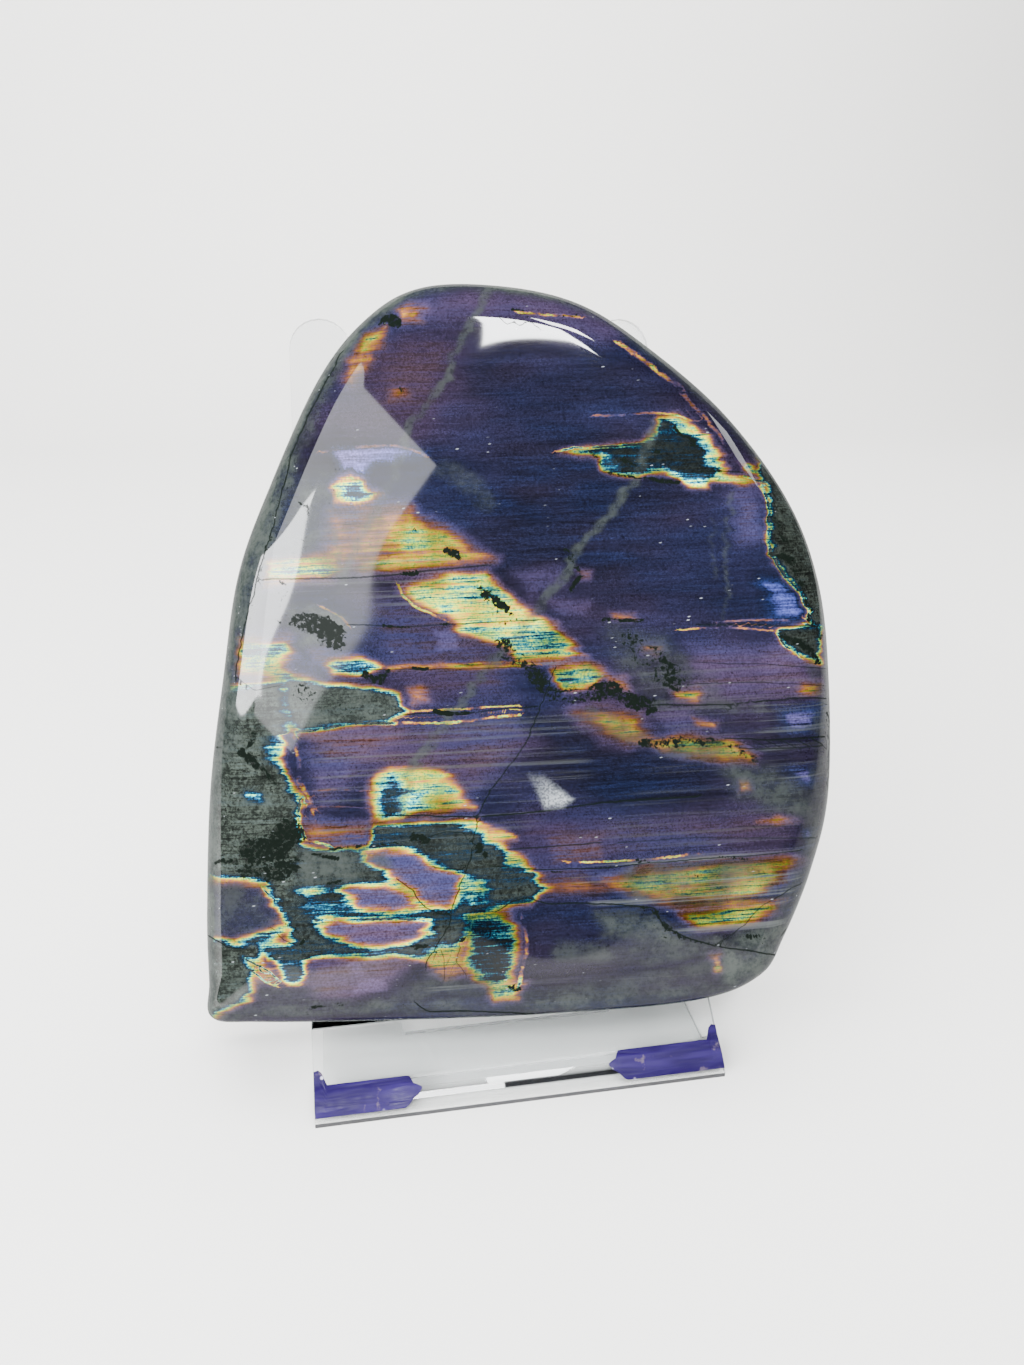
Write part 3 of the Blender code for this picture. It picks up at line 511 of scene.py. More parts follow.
# A dark hairline: (width, strength, path)
CRACKS = {
    "long_crack": (1.3, 1.0, ((556, 668), (545, 700), (530, 735), (519, 752), (491, 788), (478, 814),
        (473, 844), (466, 872), (453, 906), (448, 926), (435, 949), (425, 967))),
    "ledge_crack": (1.5, 1.0, ((343, 352), (328, 378), (304, 424), (292, 452), (280, 500), (262, 560),
        (248, 610), (240, 650), (236, 680), (248, 692))),
    "side_crack": (1.0, 0.8, ((236, 676), (254, 691), (277, 686))),
    "line_573": (2.0, 0.8, ((263, 580), (330, 578), (389, 575), (440, 569), (488, 564))),
    "line_625": (1.5, 0.8, ((347, 625), (400, 626), (445, 625), (540, 620))),
    "line_668": (1.2, 0.8, ((368, 670), (430, 670), (519, 667))),
    "line_712": (1.5, 0.8, ((404, 714), (471, 712), (540, 706))),
    "line_816": (1.8, 1.0, ((379, 814), (409, 815), (478, 817), (520, 814), (602, 802), (700, 796))),
    "thread_834": (1.0, 1.0, ((430, 836), (446, 832), (462, 833), (470, 842), (478, 846))),
    "line_849": (1.4, 0.8, ((500, 850), (560, 846), (600, 842))),
    "line_868": (1.4, 0.9, ((488, 866), (538, 869), (600, 868), (660, 862), (745, 856), (800, 850))),
    "island_line": (1.4, 1.0, ((398, 880), (412, 892), (424, 908), (440, 914), (452, 914))),
    "island_dash": (1.4, 1.0, ((434, 868), (462, 870))),
    "crack_905": (1.7, 1.0, ((500, 911), (514, 902), (528, 898), (551, 904), (602, 904), (653, 908),
        (663, 926), (690, 938), (717, 947), (790, 956))),
    "left_crack": (1.5, 1.0, ((208, 935), (216, 940), (228, 948), (244, 949))),
    "bottom_line": (1.6, 1.0, ((417, 1004), (430, 1012), (470, 1011), (540, 1014))),
    "line_699": (1.8, 0.9, ((653, 705), (730, 704), (790, 698), (824, 699))),
    "line_626": (2.4, 0.8, ((700, 625), (760, 625), (814, 627))),
    "line_740": (1.6, 0.9, ((724, 738), (770, 740), (826, 737))),
    "line_750": (1.4, 0.8, ((740, 748), (780, 749), (822, 746))),
    "line_680": (1.2, 0.7, ((690, 684), (760, 682), (820, 686))),
    "line_660": (1.2, 0.7, ((700, 662), (760, 664), (822, 668))),
    "line_836": (1.3, 0.7, ((620, 842), (700, 838), (815, 838))),
    "line_826": (1.0, 0.7, ((738, 826), (800, 826))),
    "corner_crack": (1.2, 0.8, ((717, 945), (735, 932), (762, 906), (800, 884))),
    "shoulder_line": (1.3, 0.8, ((782, 935), (806, 900), (822, 850), (828, 800), (829, 700))),
    "hair_705": (0.9, 0.8, ((727, 710), (740, 704), (750, 699))),
    "hook_crack": (1.0, 0.9, ((270, 928), (284, 940), (300, 946))),
    "cluster_line": (1.2, 0.8, ((697, 472), (722, 471), (742, 472))),
    "tan_line": (0.9, 0.8, ((436, 944), (446, 960), (444, 978))),
    "tan_line_b": (0.9, 0.8, ((460, 946), (458, 962), (466, 974))),
    "reflex_a": (1.0, 1.0, ((500, 318), (506, 324), (514, 322))),
    "reflex_b": (1.0, 1.0, ((508, 318), (520, 326), (528, 321), (540, 328))),
    "reflex_c": (0.9, 1.0, ((516, 319), (534, 322))),
}

# A frosted chip under the polish, denser towards the point where x + y is larger
FROST = ((526, 773), (544, 775), (575, 800), (562, 808), (544, 809))
FROST_THIN, FROST_FULL = 1312, 1368


class StoneSettings(bpy.types.PropertyGroup):
    """Finish of the stone."""

    roughness: FloatProperty(
        name="Roughness", description="Roughness of the stone under its polish",
        default=0.42, min=0.0, max=1.0, subtype="FACTOR",
    )
    polish_roughness: FloatProperty(
        name="Polish roughness", description="Roughness of the polished skin",
        default=0.035, min=0.0, max=1.0, subtype="FACTOR",
    )
    striation: FloatProperty(
        name="Striation", description="How much the fine layers break up the colours",
        default=1.0, min=0.0, max=3.0,
    )
    brilliance: FloatProperty(
        name="Brilliance", description="How strongly the flash shows", default=0.72, min=0.0, max=4.0,
    )


class EaselSettings(bpy.types.PropertyGroup):
    """Finish of the clear easel, and of the violet film pieces that carry a painted reflection."""

    clear_colour: FloatVectorProperty(
        name="Clear sheet", description="Tint of the clear sheet",
        default=(0.985, 0.99, 0.99), min=0.0, max=1.0, size=3, subtype="COLOR",
    )
    # The colour of the painted reflection of a violet cloth that the lip shows
    painted_reflection_colour: FloatVectorProperty(
        name="Film", description="Colour of the film remnants",
        default=(0.0075, 0.0022, 0.040), min=0.0, max=1.0, size=3, subtype="COLOR",
    )


class StageSettings(bpy.types.PropertyGroup):
    """The plain studio."""

    floor_size: FloatProperty(
        name="Floor size", description="Width of the floor", default=3.2, min=0.5, unit="LENGTH",
    )
    floor_colour: FloatVectorProperty(
        name="Floor colour", description="Colour of the floor and backdrop",
        default=(0.84, 0.83, 0.81), min=0.0, max=1.0, size=3, subtype="COLOR",
    )


def plug(tree, socket, value):
    """Link or set one socket."""
    if isinstance(value, bpy.types.NodeSocket):
        tree.links.new(value, socket)
    else:
        socket.default_value = value


def add(tree, kind, settings=None, **sockets):
    """Add a node: settings are its own properties, the rest its sockets, linked or set."""
    made = tree.nodes.new(kind)
    row, column = divmod(len(tree.nodes), 12)
    made.location = (200 * column, -260 * row)
    for name, value in (settings or {}).items():
        setattr(made, name, value)
    for name, value in sockets.items():
        plug(tree, made.inputs[name.replace("_", " ")], value)
    return made


def maths(tree, operation, *values, clamp=False):
    """A Math node's output."""
    made = add(tree, "ShaderNodeMath", {"operation": operation, "use_clamp": clamp})
    for socket, value in zip(made.inputs, values):
        plug(tree, socket, value)
    return made.outputs[0]


def product(tree, first, *others):
    """All the values multiplied."""
    for other in others:
        first = maths(tree, "MULTIPLY", first, other)
    return first


def largest(tree, first, *others):
    """The largest of the values."""
    for other in others:
        first = maths(tree, "MAXIMUM", first, other)
    return first


def scaled(tree, value, factor, offset):
    """A value times a factor plus an offset."""
    return maths(tree, "MULTIPLY_ADD", value, factor, offset)


def partly(tree, share, value):
    """1 where the share is 0, and the value where it is 1."""
    return scaled(tree, share, maths(tree, "SUBTRACT", value, 1.0), 1.0)


def mix(tree, share, first, second, blend="MIX"):
    """A colour Mix node's output."""
    made = add(tree, "ShaderNodeMix", {"data_type": "RGBA", "blend_type": blend})
    for index, value in ((0, share), (6, first), (7, second)):
        plug(tree, made.inputs[index], value)
    return made.outputs[2]


def fit(tree, value, low, high, to_low=0.0, to_high=1.0):
    """A value mapped smoothly from one range onto another; low may be the larger."""
    made = add(tree, "ShaderNodeMapRange", {"interpolation_type": "SMOOTHSTEP"}, Value=value, From_Min=low,
               From_Max=high, To_Min=to_low, To_Max=to_high)
    return made.outputs[0]


def attribute(tree, name):
    """The value that the mesh holds under this name."""
    return add(tree, "ShaderNodeAttribute", {"attribute_name": name}).outputs["Fac"]


def object_place(tree):
    """Where a point is in its object's own frame."""
    return add(tree, "ShaderNodeTexCoord").outputs["Object"]


def noise(tree, place, scale, detail=2.0, roughness=0.5, distortion=0.0):
    """Plain noise round 0.5."""
    return add(tree, "ShaderNodeTexNoise", Vector=place, Scale=scale, Detail=detail, Roughness=roughness,
               Distortion=distortion).outputs[0]


def random_cells(tree, place, scale):
    """Cells round scattered points: the distance from the point, and a colour for each cell."""
    return add(tree, "ShaderNodeTexVoronoi", Vector=place, Scale=scale, Randomness=1.0).outputs


def stretched(tree, place, scale, turn=(0.0, 0.0, 0.0)):
    """Coordinates turned and stretched."""
    return add(tree, "ShaderNodeMapping", Vector=place, Rotation=turn, Scale=scale).outputs[0]


def mask_group(name, **values):
    """An empty group from a vector and these values to a mask: its tree, its inputs and the mask's socket."""
    tree = bpy.data.node_groups.new(name, "ShaderNodeTree")
    tree.interface.new_socket(name="Vector", in_out="INPUT", socket_type="NodeSocketVector")
    for label, default in values.items():
        socket = tree.interface.new_socket(name=label, in_out="INPUT", socket_type="NodeSocketFloat")
        socket.default_value = default
    tree.interface.new_socket(name="Mask", in_out="OUTPUT", socket_type="NodeSocketFloat")
    return tree, tree.nodes.new("NodeGroupInput").outputs, tree.nodes.new("NodeGroupOutput").inputs["Mask"]


def fine_scratches(name):
    """Short straight marks that lie along one direction: a mask."""
    tree, given, mask = mask_group(name, Scale=90.0, Length=7.0, Amount=0.3, Turn=0.0)
    turned = add(tree, "ShaderNodeVectorRotate", {"rotation_type": "Z_AXIS"}, Vector=given["Vector"],
                 Angle=given["Turn"]).outputs[0]
    split = add(tree, "ShaderNodeSeparateXYZ", Vector=turned).outputs
    across = maths(tree, "DIVIDE", split["X"], given["Length"])
    place = add(tree, "ShaderNodeCombineXYZ", X=across, Y=split["Y"], Z=split["Z"]).outputs[0]
    cells = random_cells(tree, place, given["Scale"])
    chosen = add(tree, "ShaderNodeSeparateColor", Color=cells["Color"]).outputs[0]
    kept = maths(tree, "LESS_THAN", chosen, given["Amount"])
    plug(tree, mask, product(tree, fit(tree, cells["Distance"], 0.15, 0.05), kept))
    return tree


def dust_specks(name):
    """Round specks of uneven size: a mask."""
    tree, given, mask = mask_group(name, Scale=300.0, Size=0.2, Amount=0.2)
    cells = random_cells(tree, given["Vector"], given["Scale"])
    chosen, uneven = add(tree, "ShaderNodeSeparateColor", Color=cells["Color"]).outputs[:2]
    reach = product(tree, given["Size"], maths(tree, "ADD", uneven, 0.35))
    inside = maths(tree, "SUBTRACT", 1.0, maths(tree, "DIVIDE", cells["Distance"], reach), clamp=True)
    kept = maths(tree, "LESS_THAN", chosen, given["Amount"])
    plug(tree, mask, product(tree, fit(tree, inside, 0.0, 0.6), kept))
    return tree


def use_group(tree, build, **sockets):
    """Place a shared group in a material, built the first time, and give back its mask."""
    group = bpy.data.node_groups.get(build.__name__) or build(build.__name__)
    return add(tree, "ShaderNodeGroup", {"node_tree": group}, **sockets).outputs[0]


def new_material(name):
    """A material with an empty Principled shader: its tree and the shader."""
    made = bpy.data.materials.new(name)
    made.use_nodes = True
    return made, made.node_tree, made.node_tree.nodes["Principled BSDF"]


def set_shader(tree, shader, **sockets):
    """Link or set the shader's sockets."""
    for name, value in sockets.items():
        plug(tree, shader.inputs[name.replace("_", " ")], value)


def hairline(tree, name, flecks, wander):
    """A mask for the lines that the mesh holds as a strength and as a signed distance in line widths."""
    shifted = maths(tree, "ADD", attribute(tree, name + "_from"), scaled(tree, flecks, wander, -wander / 2))
    across = maths(tree, "ABSOLUTE", shifted)
    return product(tree, fit(tree, across, 1.25, 0.45), attribute(tree, name))


def stone_noises(tree, place):
    """The noises that break up the stone's colours, by name."""
    layers = (0.0, 0.0, -LAYER_TURN)
    found = {name: noise(tree, stretched(tree, place, scale, layers), 1.0, *kind)
             for name, (scale, *kind) in LAYER_NOISES.items()}
    found.update((name, noise(tree, place, *kind)) for name, kind in EVEN_NOISES.items())
    mottled = scaled(tree, found["cloud"], 0.5, product(tree, found["flecks"], 0.5))
    return SimpleNamespace(**found, mottled=mottled)


def flash_depth(tree, noises, settings):
    """The depth that shows: the mesh's own, cut by fine seams and broken up by the layers."""
    seam = hairline(tree, "seam", noises.flecks, 2.6)
    seam = product(tree, seam, fit(tree, noises.cloud, 0.36, 0.54))
    depth = scaled(tree, seam, -SEAM_CUT, attribute(tree, "depth"))
    shift = 0.0
    for value, amount in ((noises.broad, 0.30 * settings.striation), (noises.fine, 0.24 * settings.striation),
                          (noises.grain, 0.12), (noises.cloud, 0.12)):
        shift = scaled(tree, maths(tree, "SUBTRACT", value, 0.5), amount, shift)
    shift = product(tree, shift, fit(tree, depth, 0.93, 0.55, 0.22, 2.0),
                    fit(tree, depth, 0.14, 0.30, 0.55, 1.0))
    reached = maths(tree, "ADD", depth, shift, clamp=True)
    return maths(tree, "MINIMUM", reached, largest(tree, depth, DEEPEST))


def flash_colour(tree, noises, reached):
    """The colour of each depth, the violets warmer in places and cooler in others."""
    ramp = add(tree, "ShaderNodeValToRGB", Fac=reached)
    stops = ramp.color_ramp.elements
    while len(stops) < len(FLASH_RAMP):
        stops.new(0.5)
    for stop, (at, colour) in zip(stops, FLASH_RAMP):
        stop.position = at
        stop.color = (*colour, 1.0)
    tint = mix(tree, fit(tree, noises.drift, 0.38, 0.62), WARM_TINT, COOL_TINT)
    return mix(tree, fit(tree, reached, 0.66, 0.84), ramp.outputs[0], tint, "MULTIPLY")


def flash_gleam(tree, noises, reached, streak, settings):
    """How brightly the flash shows: uneven everywhere, combed in the bright rims, mottled in the matrix."""
    rim = product(tree, fit(tree, reached, 0.22, 0.36), fit(tree, reached, 0.74, 0.60))
    combed = product(tree, fit(tree, noises.patches, 0.36, 0.62, 0.42, 1.30),
                     fit(tree, noises.fine, 0.34, 0.50, 0.45, 1.15))
    return product(
        tree, attribute(tree, "gleam"),
        fit(tree, noises.fine, 0.28, 0.72, 0.66, 1.34),
        fit(tree, noises.broad, 0.28, 0.72, 0.72, 1.28),
        fit(tree, noises.grain, 0.30, 0.70, 0.62, 1.34),
        fit(tree, noises.flecks, 0.30, 0.42, 0.55, 1.0),
        partly(tree, rim, combed),
        fit(tree, noises.stripes, 0.30, 0.50, scaled(tree, streak, -0.62, 1.0), 1.0),
        partly(tree, fit(tree, reached, 0.24, 0.14), fit(tree, noises.mottled, 0.40, 0.60, 0.45, 1.45)),
        settings.brilliance,
    )


def soot_mask(tree, noises):
    """Black-green flecks and lumps, closer together where the mesh holds more soot."""
    dark = attribute(tree, "soot")
    limit = fit(tree, dark, 0.0, 1.0, 0.80, 0.43)
    lumps = scaled(tree, noises.cloud, 0.35, product(tree, noises.flecks, 0.65))
    lumps = fit(tree, maths(tree, "SUBTRACT", lumps, limit), -0.03, 0.03)
    return maths(tree, "MULTIPLY", lumps, fit(tree, dark, 0.03, 0.2), clamp=True)


def chip_mask(tree, noises, place):
    """Pale dashes in clusters, and the frosted chip."""
    dashes = use_group(tree, fine_scratches, Vector=place, Scale=850.0, Length=3.4, Amount=0.30, Turn=-0.1)
    dashes = product(tree, dashes, fit(tree, noises.clusters, 0.50, 0.60), 0.85)
    frosted = product(tree, attribute(tree, "frost"), fit(tree, noises.grain, 0.36, 0.60, 0.35, 1.0))
    return largest(tree, dashes, frosted)


def labradorite_material(settings):
    """Layered flash under a clear polish."""
    made, tree, shader = new_material("labradorite_polish")
    place = stretched(tree, object_place(tree), (1.0, 1.0, 1.0), (-BACK_ANGLE, 0.0, 0.0))
    noises = stone_noises(tree, place)
    streak = attribute(tree, "streak")
    reached = flash_depth(tree, noises, settings)
    gleam = flash_gleam(tree, noises, reached, streak, settings)
    grey = add(tree, "ShaderNodeCombineColor", Red=gleam, Green=gleam, Blue=gleam).outputs[0]
    colour = mix(tree, 1.0, flash_colour(tree, noises, reached), grey, "MULTIPLY")

    veil = product(tree, attribute(tree, "veil"), fit(tree, noises.cloud, 0.35, 0.62, 0.45, 1.0))
    veil_colour = mix(tree, fit(tree, noises.mottled, 0.38, 0.62), VEIL_DARK, VEIL_PALE)
    colour = mix(tree, maths(tree, "MINIMUM", veil, 1.0), colour, veil_colour)
    silver = product(tree, fit(tree, noises.stripes, 0.52, 0.68), fit(tree, streak, 0.30, 1.0, 0.0, 0.62))
    colour = mix(tree, silver, colour, SILVER)

    soot = soot_mask(tree, noises)
    crack = hairline(tree, "crack", noises.flecks, 2.0)
    colour = mix(tree, largest(tree, soot, product(tree, crack, 0.92)), colour, SOOT_COLOUR)
    colour = mix(tree, chip_mask(tree, noises, place), colour, CHIP_COLOUR)

    pitted = scaled(tree, largest(tree, soot, crack), -0.85, 1.0)
    relief = maths(tree, "SUBTRACT", product(tree, noises.grain, 0.05), crack)
    set_shader(
        tree, shader, Base_Color=colour, Roughness=settings.roughness, IOR=STONE_IOR, Specular_IOR_Level=0.0,
        Coat_Weight=product(tree, pitted, attribute(tree, "polish")),
        Coat_Roughness=settings.polish_roughness, Coat_IOR=STONE_IOR,
        Normal=add(tree, "ShaderNodeBump", Height=relief, Strength=0.25, Distance=0.0004).outputs[0],
    )
    return made


def cut_faces(tree, spot):
    """A mask for the sheet's cut faces: its sides, the rounds of the ears, and the ground plate's ends."""
    facing = add(tree, "ShaderNodeNewGeometry").outputs["True Normal"]
    facing = add(tree, "ShaderNodeSeparateXYZ", Vector=facing).outputs
    sides = fit(tree, maths(tree, "ABSOLUTE", facing["X"]), 0.5, 0.8)
    broadside = scaled(tree, facing["Y"], -sin(BACK_ANGLE), product(tree, facing["Z"], cos(BACK_ANGLE)))
    ears = product(tree, fit(tree, maths(tree, "ABSOLUTE", broadside), 0.6, 0.3),
                   fit(tree, spot["Z"], 0.03, 0.04))
    ends = product(tree, fit(tree, maths(tree, "ABSOLUTE", facing["Y"]), 0.8, 0.95),
                   fit(tree, spot["Z"], SHEET * 1.02, SHEET * 0.98))
    return largest(tree, sides, ears, ends)


def acrylic_material(settings):
    """Clear cast sheet, with painted shade on its cut faces and in its front fold, and a few handling
    scratches.
    """
    made, tree, shader = new_material("clear_acrylic")
    place = object_place(tree)
    spot = add(tree, "ShaderNodeSeparateXYZ", Vector=place).outputs
    marks = use_group(tree, fine_scratches, Vector=place, Scale=70.0, Length=9.0, Amount=0.16, Turn=1.2)
    # The cut faces are roughened, and get painted shade for the dark room that they reflect
    cut = cut_faces(tree, spot)
    # Painted shade in the front fold, which stands in for the dark room that the fold reflects
    painted_fold_shade = product(tree, fit(tree, spot["Z"], FOLD_HIGH, FOLD_HIGH - 0.4 * MM),
                   fit(tree, spot["Z"], FOLD_LOW, FOLD_LOW + 0.4 * MM),
                   fit(tree, spot["Y"], FRONT_EDGE.y + FOLD_BACK, FRONT_EDGE.y + FOLD_BACK - 1.5 * MM))
    clear = (*settings.clear_colour, 1.0)
    set_shader(
        tree, shader, Base_Color=mix(tree, cut, mix(tree, painted_fold_shade, clear, FOLD_PAINTED_SHADE), CUT_PAINTED_SHADE),
        Transmission_Weight=1.0, IOR=ACRYLIC_IOR,
        Roughness=scaled(tree, marks, 0.35, scaled(tree, cut, 0.45, 0.012)),
        Normal=add(tree, "ShaderNodeBump", Height=marks, Strength=0.3, Distance=0.0002).outputs[0],
    )
    # The sheet lets light through to what it stands on, so shadow rays pass it as a plain tint
    through = add(tree, "ShaderNodeBsdfTransparent", Color=clear).outputs[0]
    both = add(tree, "ShaderNodeMixShader", Fac=add(tree, "ShaderNodeLightPath").outputs["Is Shadow Ray"])
    plug(tree, both.inputs[1], shader.outputs[0])
    plug(tree, both.inputs[2], through)
    inside = add(tree, "ShaderNodeVolumeAbsorption", Color=SHEET_DEEP, Density=SHEET_DENSITY)
    output = tree.nodes["Material Output"]
    plug(tree, output.inputs["Surface"], both.outputs[0])
    plug(tree, output.inputs["Volume"], inside.outputs[0])
    return made


def painted_reflection_material(settings):
    """Thin violet pieces with a painted reflection of a violet cloth: uneven pale ripples for its folds,
    scuffs and dust.
    """
    made, tree, shader = new_material("violet_film")
    place = object_place(tree)
    # The ripples paint the folds of the reflected cloth paler, and bump the surface
    ripple = noise(tree, stretched(tree, place, (60, 420, 420)), 1.0, 2.0, 0.5, 0.4)
    cloud = noise(tree, place, 260.0, 4.0, 0.6)
    specks = use_group(tree, dust_specks, Vector=place, Scale=520.0, Size=0.3, Amount=0.10)
    pale = tuple(min(1.0, c * 1.7 + 0.004) for c in settings.painted_reflection_colour)
    colour = mix(tree, fit(tree, ripple, 0.35, 0.7), (*settings.painted_reflection_colour, 1.0), (*pale, 1.0))
    colour = mix(tree, product(tree, fit(tree, cloud, 0.62, 0.72), 0.6), colour, SCUFF_COLOUR)
    colour = mix(tree, product(tree, specks, 0.8), colour, DUST_COLOUR)
    set_shader(
        tree, shader, Base_Color=colour, Specular_IOR_Level=0.15,
        Roughness=fit(tree, cloud, 0.3, 0.7, 0.28, 0.5),
        Normal=add(tree, "ShaderNodeBump", Height=ripple, Strength=0.5, Distance=0.0006).outputs[0],
    )
    return made


def stage_material(settings):
    """Matt seamless paper."""
    made, tree, shader = new_material("pale_paper")
    cloud = noise(tree, object_place(tree), 6.0, 3.0)
    low = tuple(c * 0.985 for c in settings.floor_colour)
    colour = mix(tree, cloud, (*low, 1.0), (*settings.floor_colour, 1.0))
    set_shader(tree, shader, Base_Color=colour, Roughness=0.85)
    return made


def camera_axes():
    """The camera's place and its right, up and forward directions."""
    flat, drop = cos(CAMERA_PITCH), -sin(CAMERA_PITCH)
    forward = Vector((sin(CAMERA_TURN) * flat, cos(CAMERA_TURN) * flat, drop))
    level = Vector((cos(CAMERA_TURN), -sin(CAMERA_TURN), 0.0))
    rise = level.cross(forward)
    right = level * cos(CAMERA_ROLL) + rise * sin(CAMERA_ROLL)
    up = rise * cos(CAMERA_ROLL) - level * sin(CAMERA_ROLL)
    return FRONT_EDGE + CAMERA_OFFSET, right, up, forward


def in_photo(points):
    """Where world points show in the photograph, in its pixels."""
    place, right, up, forward = (np.array(v) for v in camera_axes())
    seen = points - place
    depth = seen @ forward
    x = PHOTO_WIDTH / 2 + FOCAL_PIXELS * (seen @ right) / depth
    y = PHOTO_HEIGHT / 2 - FOCAL_PIXELS * (seen @ up) / depth
    return np.stack((x, y), axis=1)


def rim_rows():
    """The outline's rows, filled in along a smooth closed curve through them."""
    rows = np.array(OUTLINE)
    a, c, d = np.roll(rows, 1, 0), np.roll(rows, -1, 0), np.roll(rows, -2, 0)
    spans = []
    for step in range(SPAN_STEPS):
        t = step / SPAN_STEPS
        spans.append(0.5 * (2 * rows + (c - a) * t + (2 * a - 5 * rows + 4 * c - d) * t**2
                            + (3 * rows - a - 3 * c + d) * t**3))
    return np.stack(spans, axis=1).reshape(-1, rows.shape[1])


def thickness(x, y):
    """The stone's thickness before its dome, in mm."""
    return BASE_THICKNESS + x * tan(WEDGE) - y * tan(TAPER)


def face_height(x, y, share):
    """How far the polished face stands off the back, share being 0 at the middle and 1 at the rim."""
    wave = WAVE * np.sin(2 * pi * x / WAVE_LENGTH + 0.6) * np.cos(2 * pi * y / WAVE_LENGTH)
    return thickness(x, y) + (DOME + wave) * (1 - share**2)


def stone_rings():
    """The surface as rings of points in mm, from the face's middle, over the rim, to the back's middle."""
    rows = rim_rows()
    rim = rows[:, :2]
    face_reach, face_rise, back_reach, back_rise = rows[:, 2:].T
    inwards = STONE_CENTRE - rim
    length = np.linalg.norm(inwards, axis=1)
    inwards = inwards / length[:, None]
    full = thickness(*rim.T)
    face_rise, back_rise = face_rise * full, back_rise * full
    power = 2 / SHOULDER_POWER
    rings = []

    def ring_at(inset, height):
        spot = rim + inwards * inset[:, None]
        rings.append(np.column_stack((spot[:, 0], spot[:, 1] + height * tan(BASE_TILT), height)))

    for ring in range(1, FACE_RINGS):
        share = ring / FACE_RINGS * (1 - face_reach / length)
        spot = STONE_CENTRE - inwards * (length * share)[:, None]
        ring_at(length * (1 - share), face_height(*spot.T, share))
    for ring in range(SHOULDER_RINGS + 1):
        angle = pi / 2 * (1 - ring / SHOULDER_RINGS)
        inset = face_reach * (1 - cos(angle) ** power)
        spot = rim + inwards * inset[:, None]
        top = face_height(*spot.T, 1 - inset / length)
        ring_at(inset, full - face_rise + (top - full + face_rise) * sin(angle) ** power)
    for ring in range(1, SHOULDER_RINGS + 1):
        angle = pi / 2 * ring / SHOULDER_RINGS
        ring_at(back_reach * (1 - max(cos(angle), 0.0) ** power), back_rise * (1 - sin(angle) ** power))
    for ring in range(BACK_RINGS - 1, 0, -1):
        share = ring / BACK_RINGS * (1 - back_reach / length)
        ring_at(length * (1 - share), np.zeros(len(length)))
    return np.array(rings)


def new_mesh(name, points, faces):
    """A smooth mesh of these points and faces."""
    mesh = bpy.data.meshes.new(name)
    mesh.from_pydata(points, [], faces)
    mesh.update()
    mesh.shade_smooth()
    return mesh


def stone_mesh():
    """The dense stone, and its points in the stone's own frame."""
    rings = stone_rings()
    count, around = rings.shape[:2]
    x, y = STONE_CENTRE
    peak = float(face_height(x, y, 0.0))
    poles = [(x, y + peak * tan(BASE_TILT), peak), (x, y, 0.0)]
    points = np.concatenate((rings.reshape(-1, 3), poles)) * MM
    front, back = count * around, count * around + 1
    last = (count - 1) * around
    faces = []
    for low in range(0, last, around):
        for step in range(around):
            after = (step + 1) % around
            faces.append((low + step, low + after, low + around + after, low + around + step))
    for step in range(around):
        after = (step + 1) % around
        faces.append((front, after, step))
        faces.append((back, last + step, last + after))
    return new_mesh("labradorite_stone", points.tolist(), faces), points


def span_distance(points, start, end):
    """Distance from each point to a straight span."""
    way = end - start
    share = np.clip(((points - start) @ way) / (way @ way), 0, 1)
    return np.linalg.norm(points - start - share[:, None] * way, axis=1)


def polygon_distance(points, outline):
    """Distance to a closed outline, negative inside."""
    corners = np.array(outline, float)
    nearest = np.full(len(points), np.inf)
    inside = np.zeros(len(points), bool)
    for start, end in zip(corners, np.roll(corners, -1, 0)):
        nearest = np.minimum(nearest, span_distance(points, start, end))
        crosses = (start[1] > points[:, 1]) != (end[1] > points[:, 1])
        run, rise = end - start
        if rise:
            inside ^= crosses & (points[:, 0] < start[0] + (points[:, 1] - start[1]) * run / rise)
    return np.where(inside, -nearest, nearest)


def path_distance(points, path):
    """Distance to an open path, and 1 or -1 for the side of it."""
    corners = np.array(path, float)
    nearest = np.full(len(points), np.inf)
    side = np.ones(len(points))
    for start, end in zip(corners, corners[1:]):
        distance = span_distance(points, start, end)
        run, rise = end - start
        across = run * (points[:, 1] - start[1]) - rise * (points[:, 0] - start[0])
        side = np.where(distance < nearest, np.sign(across), side)
        nearest = np.minimum(nearest, distance)
    return nearest, side


def ease(value, low, high):
    """0 below low, 1 above high, smooth between; low may be the larger."""
    t = np.clip((value - low) / (high - low), 0, 1)
    return t * t * (3 - 2 * t)


def lattice(points, cell, seed):
    """Smooth noise from -1 to 1 on a grid of this cell size."""
    size = 128
    grid = np.random.default_rng(seed).uniform(-1, 1, (size, size))
    at = points / np.array(cell)
    low = np.floor(at).astype(int)
    part = ease(at - low, 0, 1)
    (x0, y0), (x1, y1) = (low % size).T, ((low + 1) % size).T
    top = grid[x0, y0] * (1 - part[:, 0]) + grid[x1, y0] * part[:, 0]
    bottom = grid[x0, y1] * (1 - part[:, 0]) + grid[x1, y1] * part[:, 0]
    return top * (1 - part[:, 1]) + bottom * part[:, 1]


def wobbled(points):
    """Picture points pushed about a little, so that markings get natural edges."""
    push = np.zeros_like(points)
    for cell, reach, seed in WOBBLES:
        push[:, 0] += reach * 1.3 * lattice(points, cell, seed)
        push[:, 1] += reach * 0.6 * lattice(points, cell, seed + 50)
    return points + push


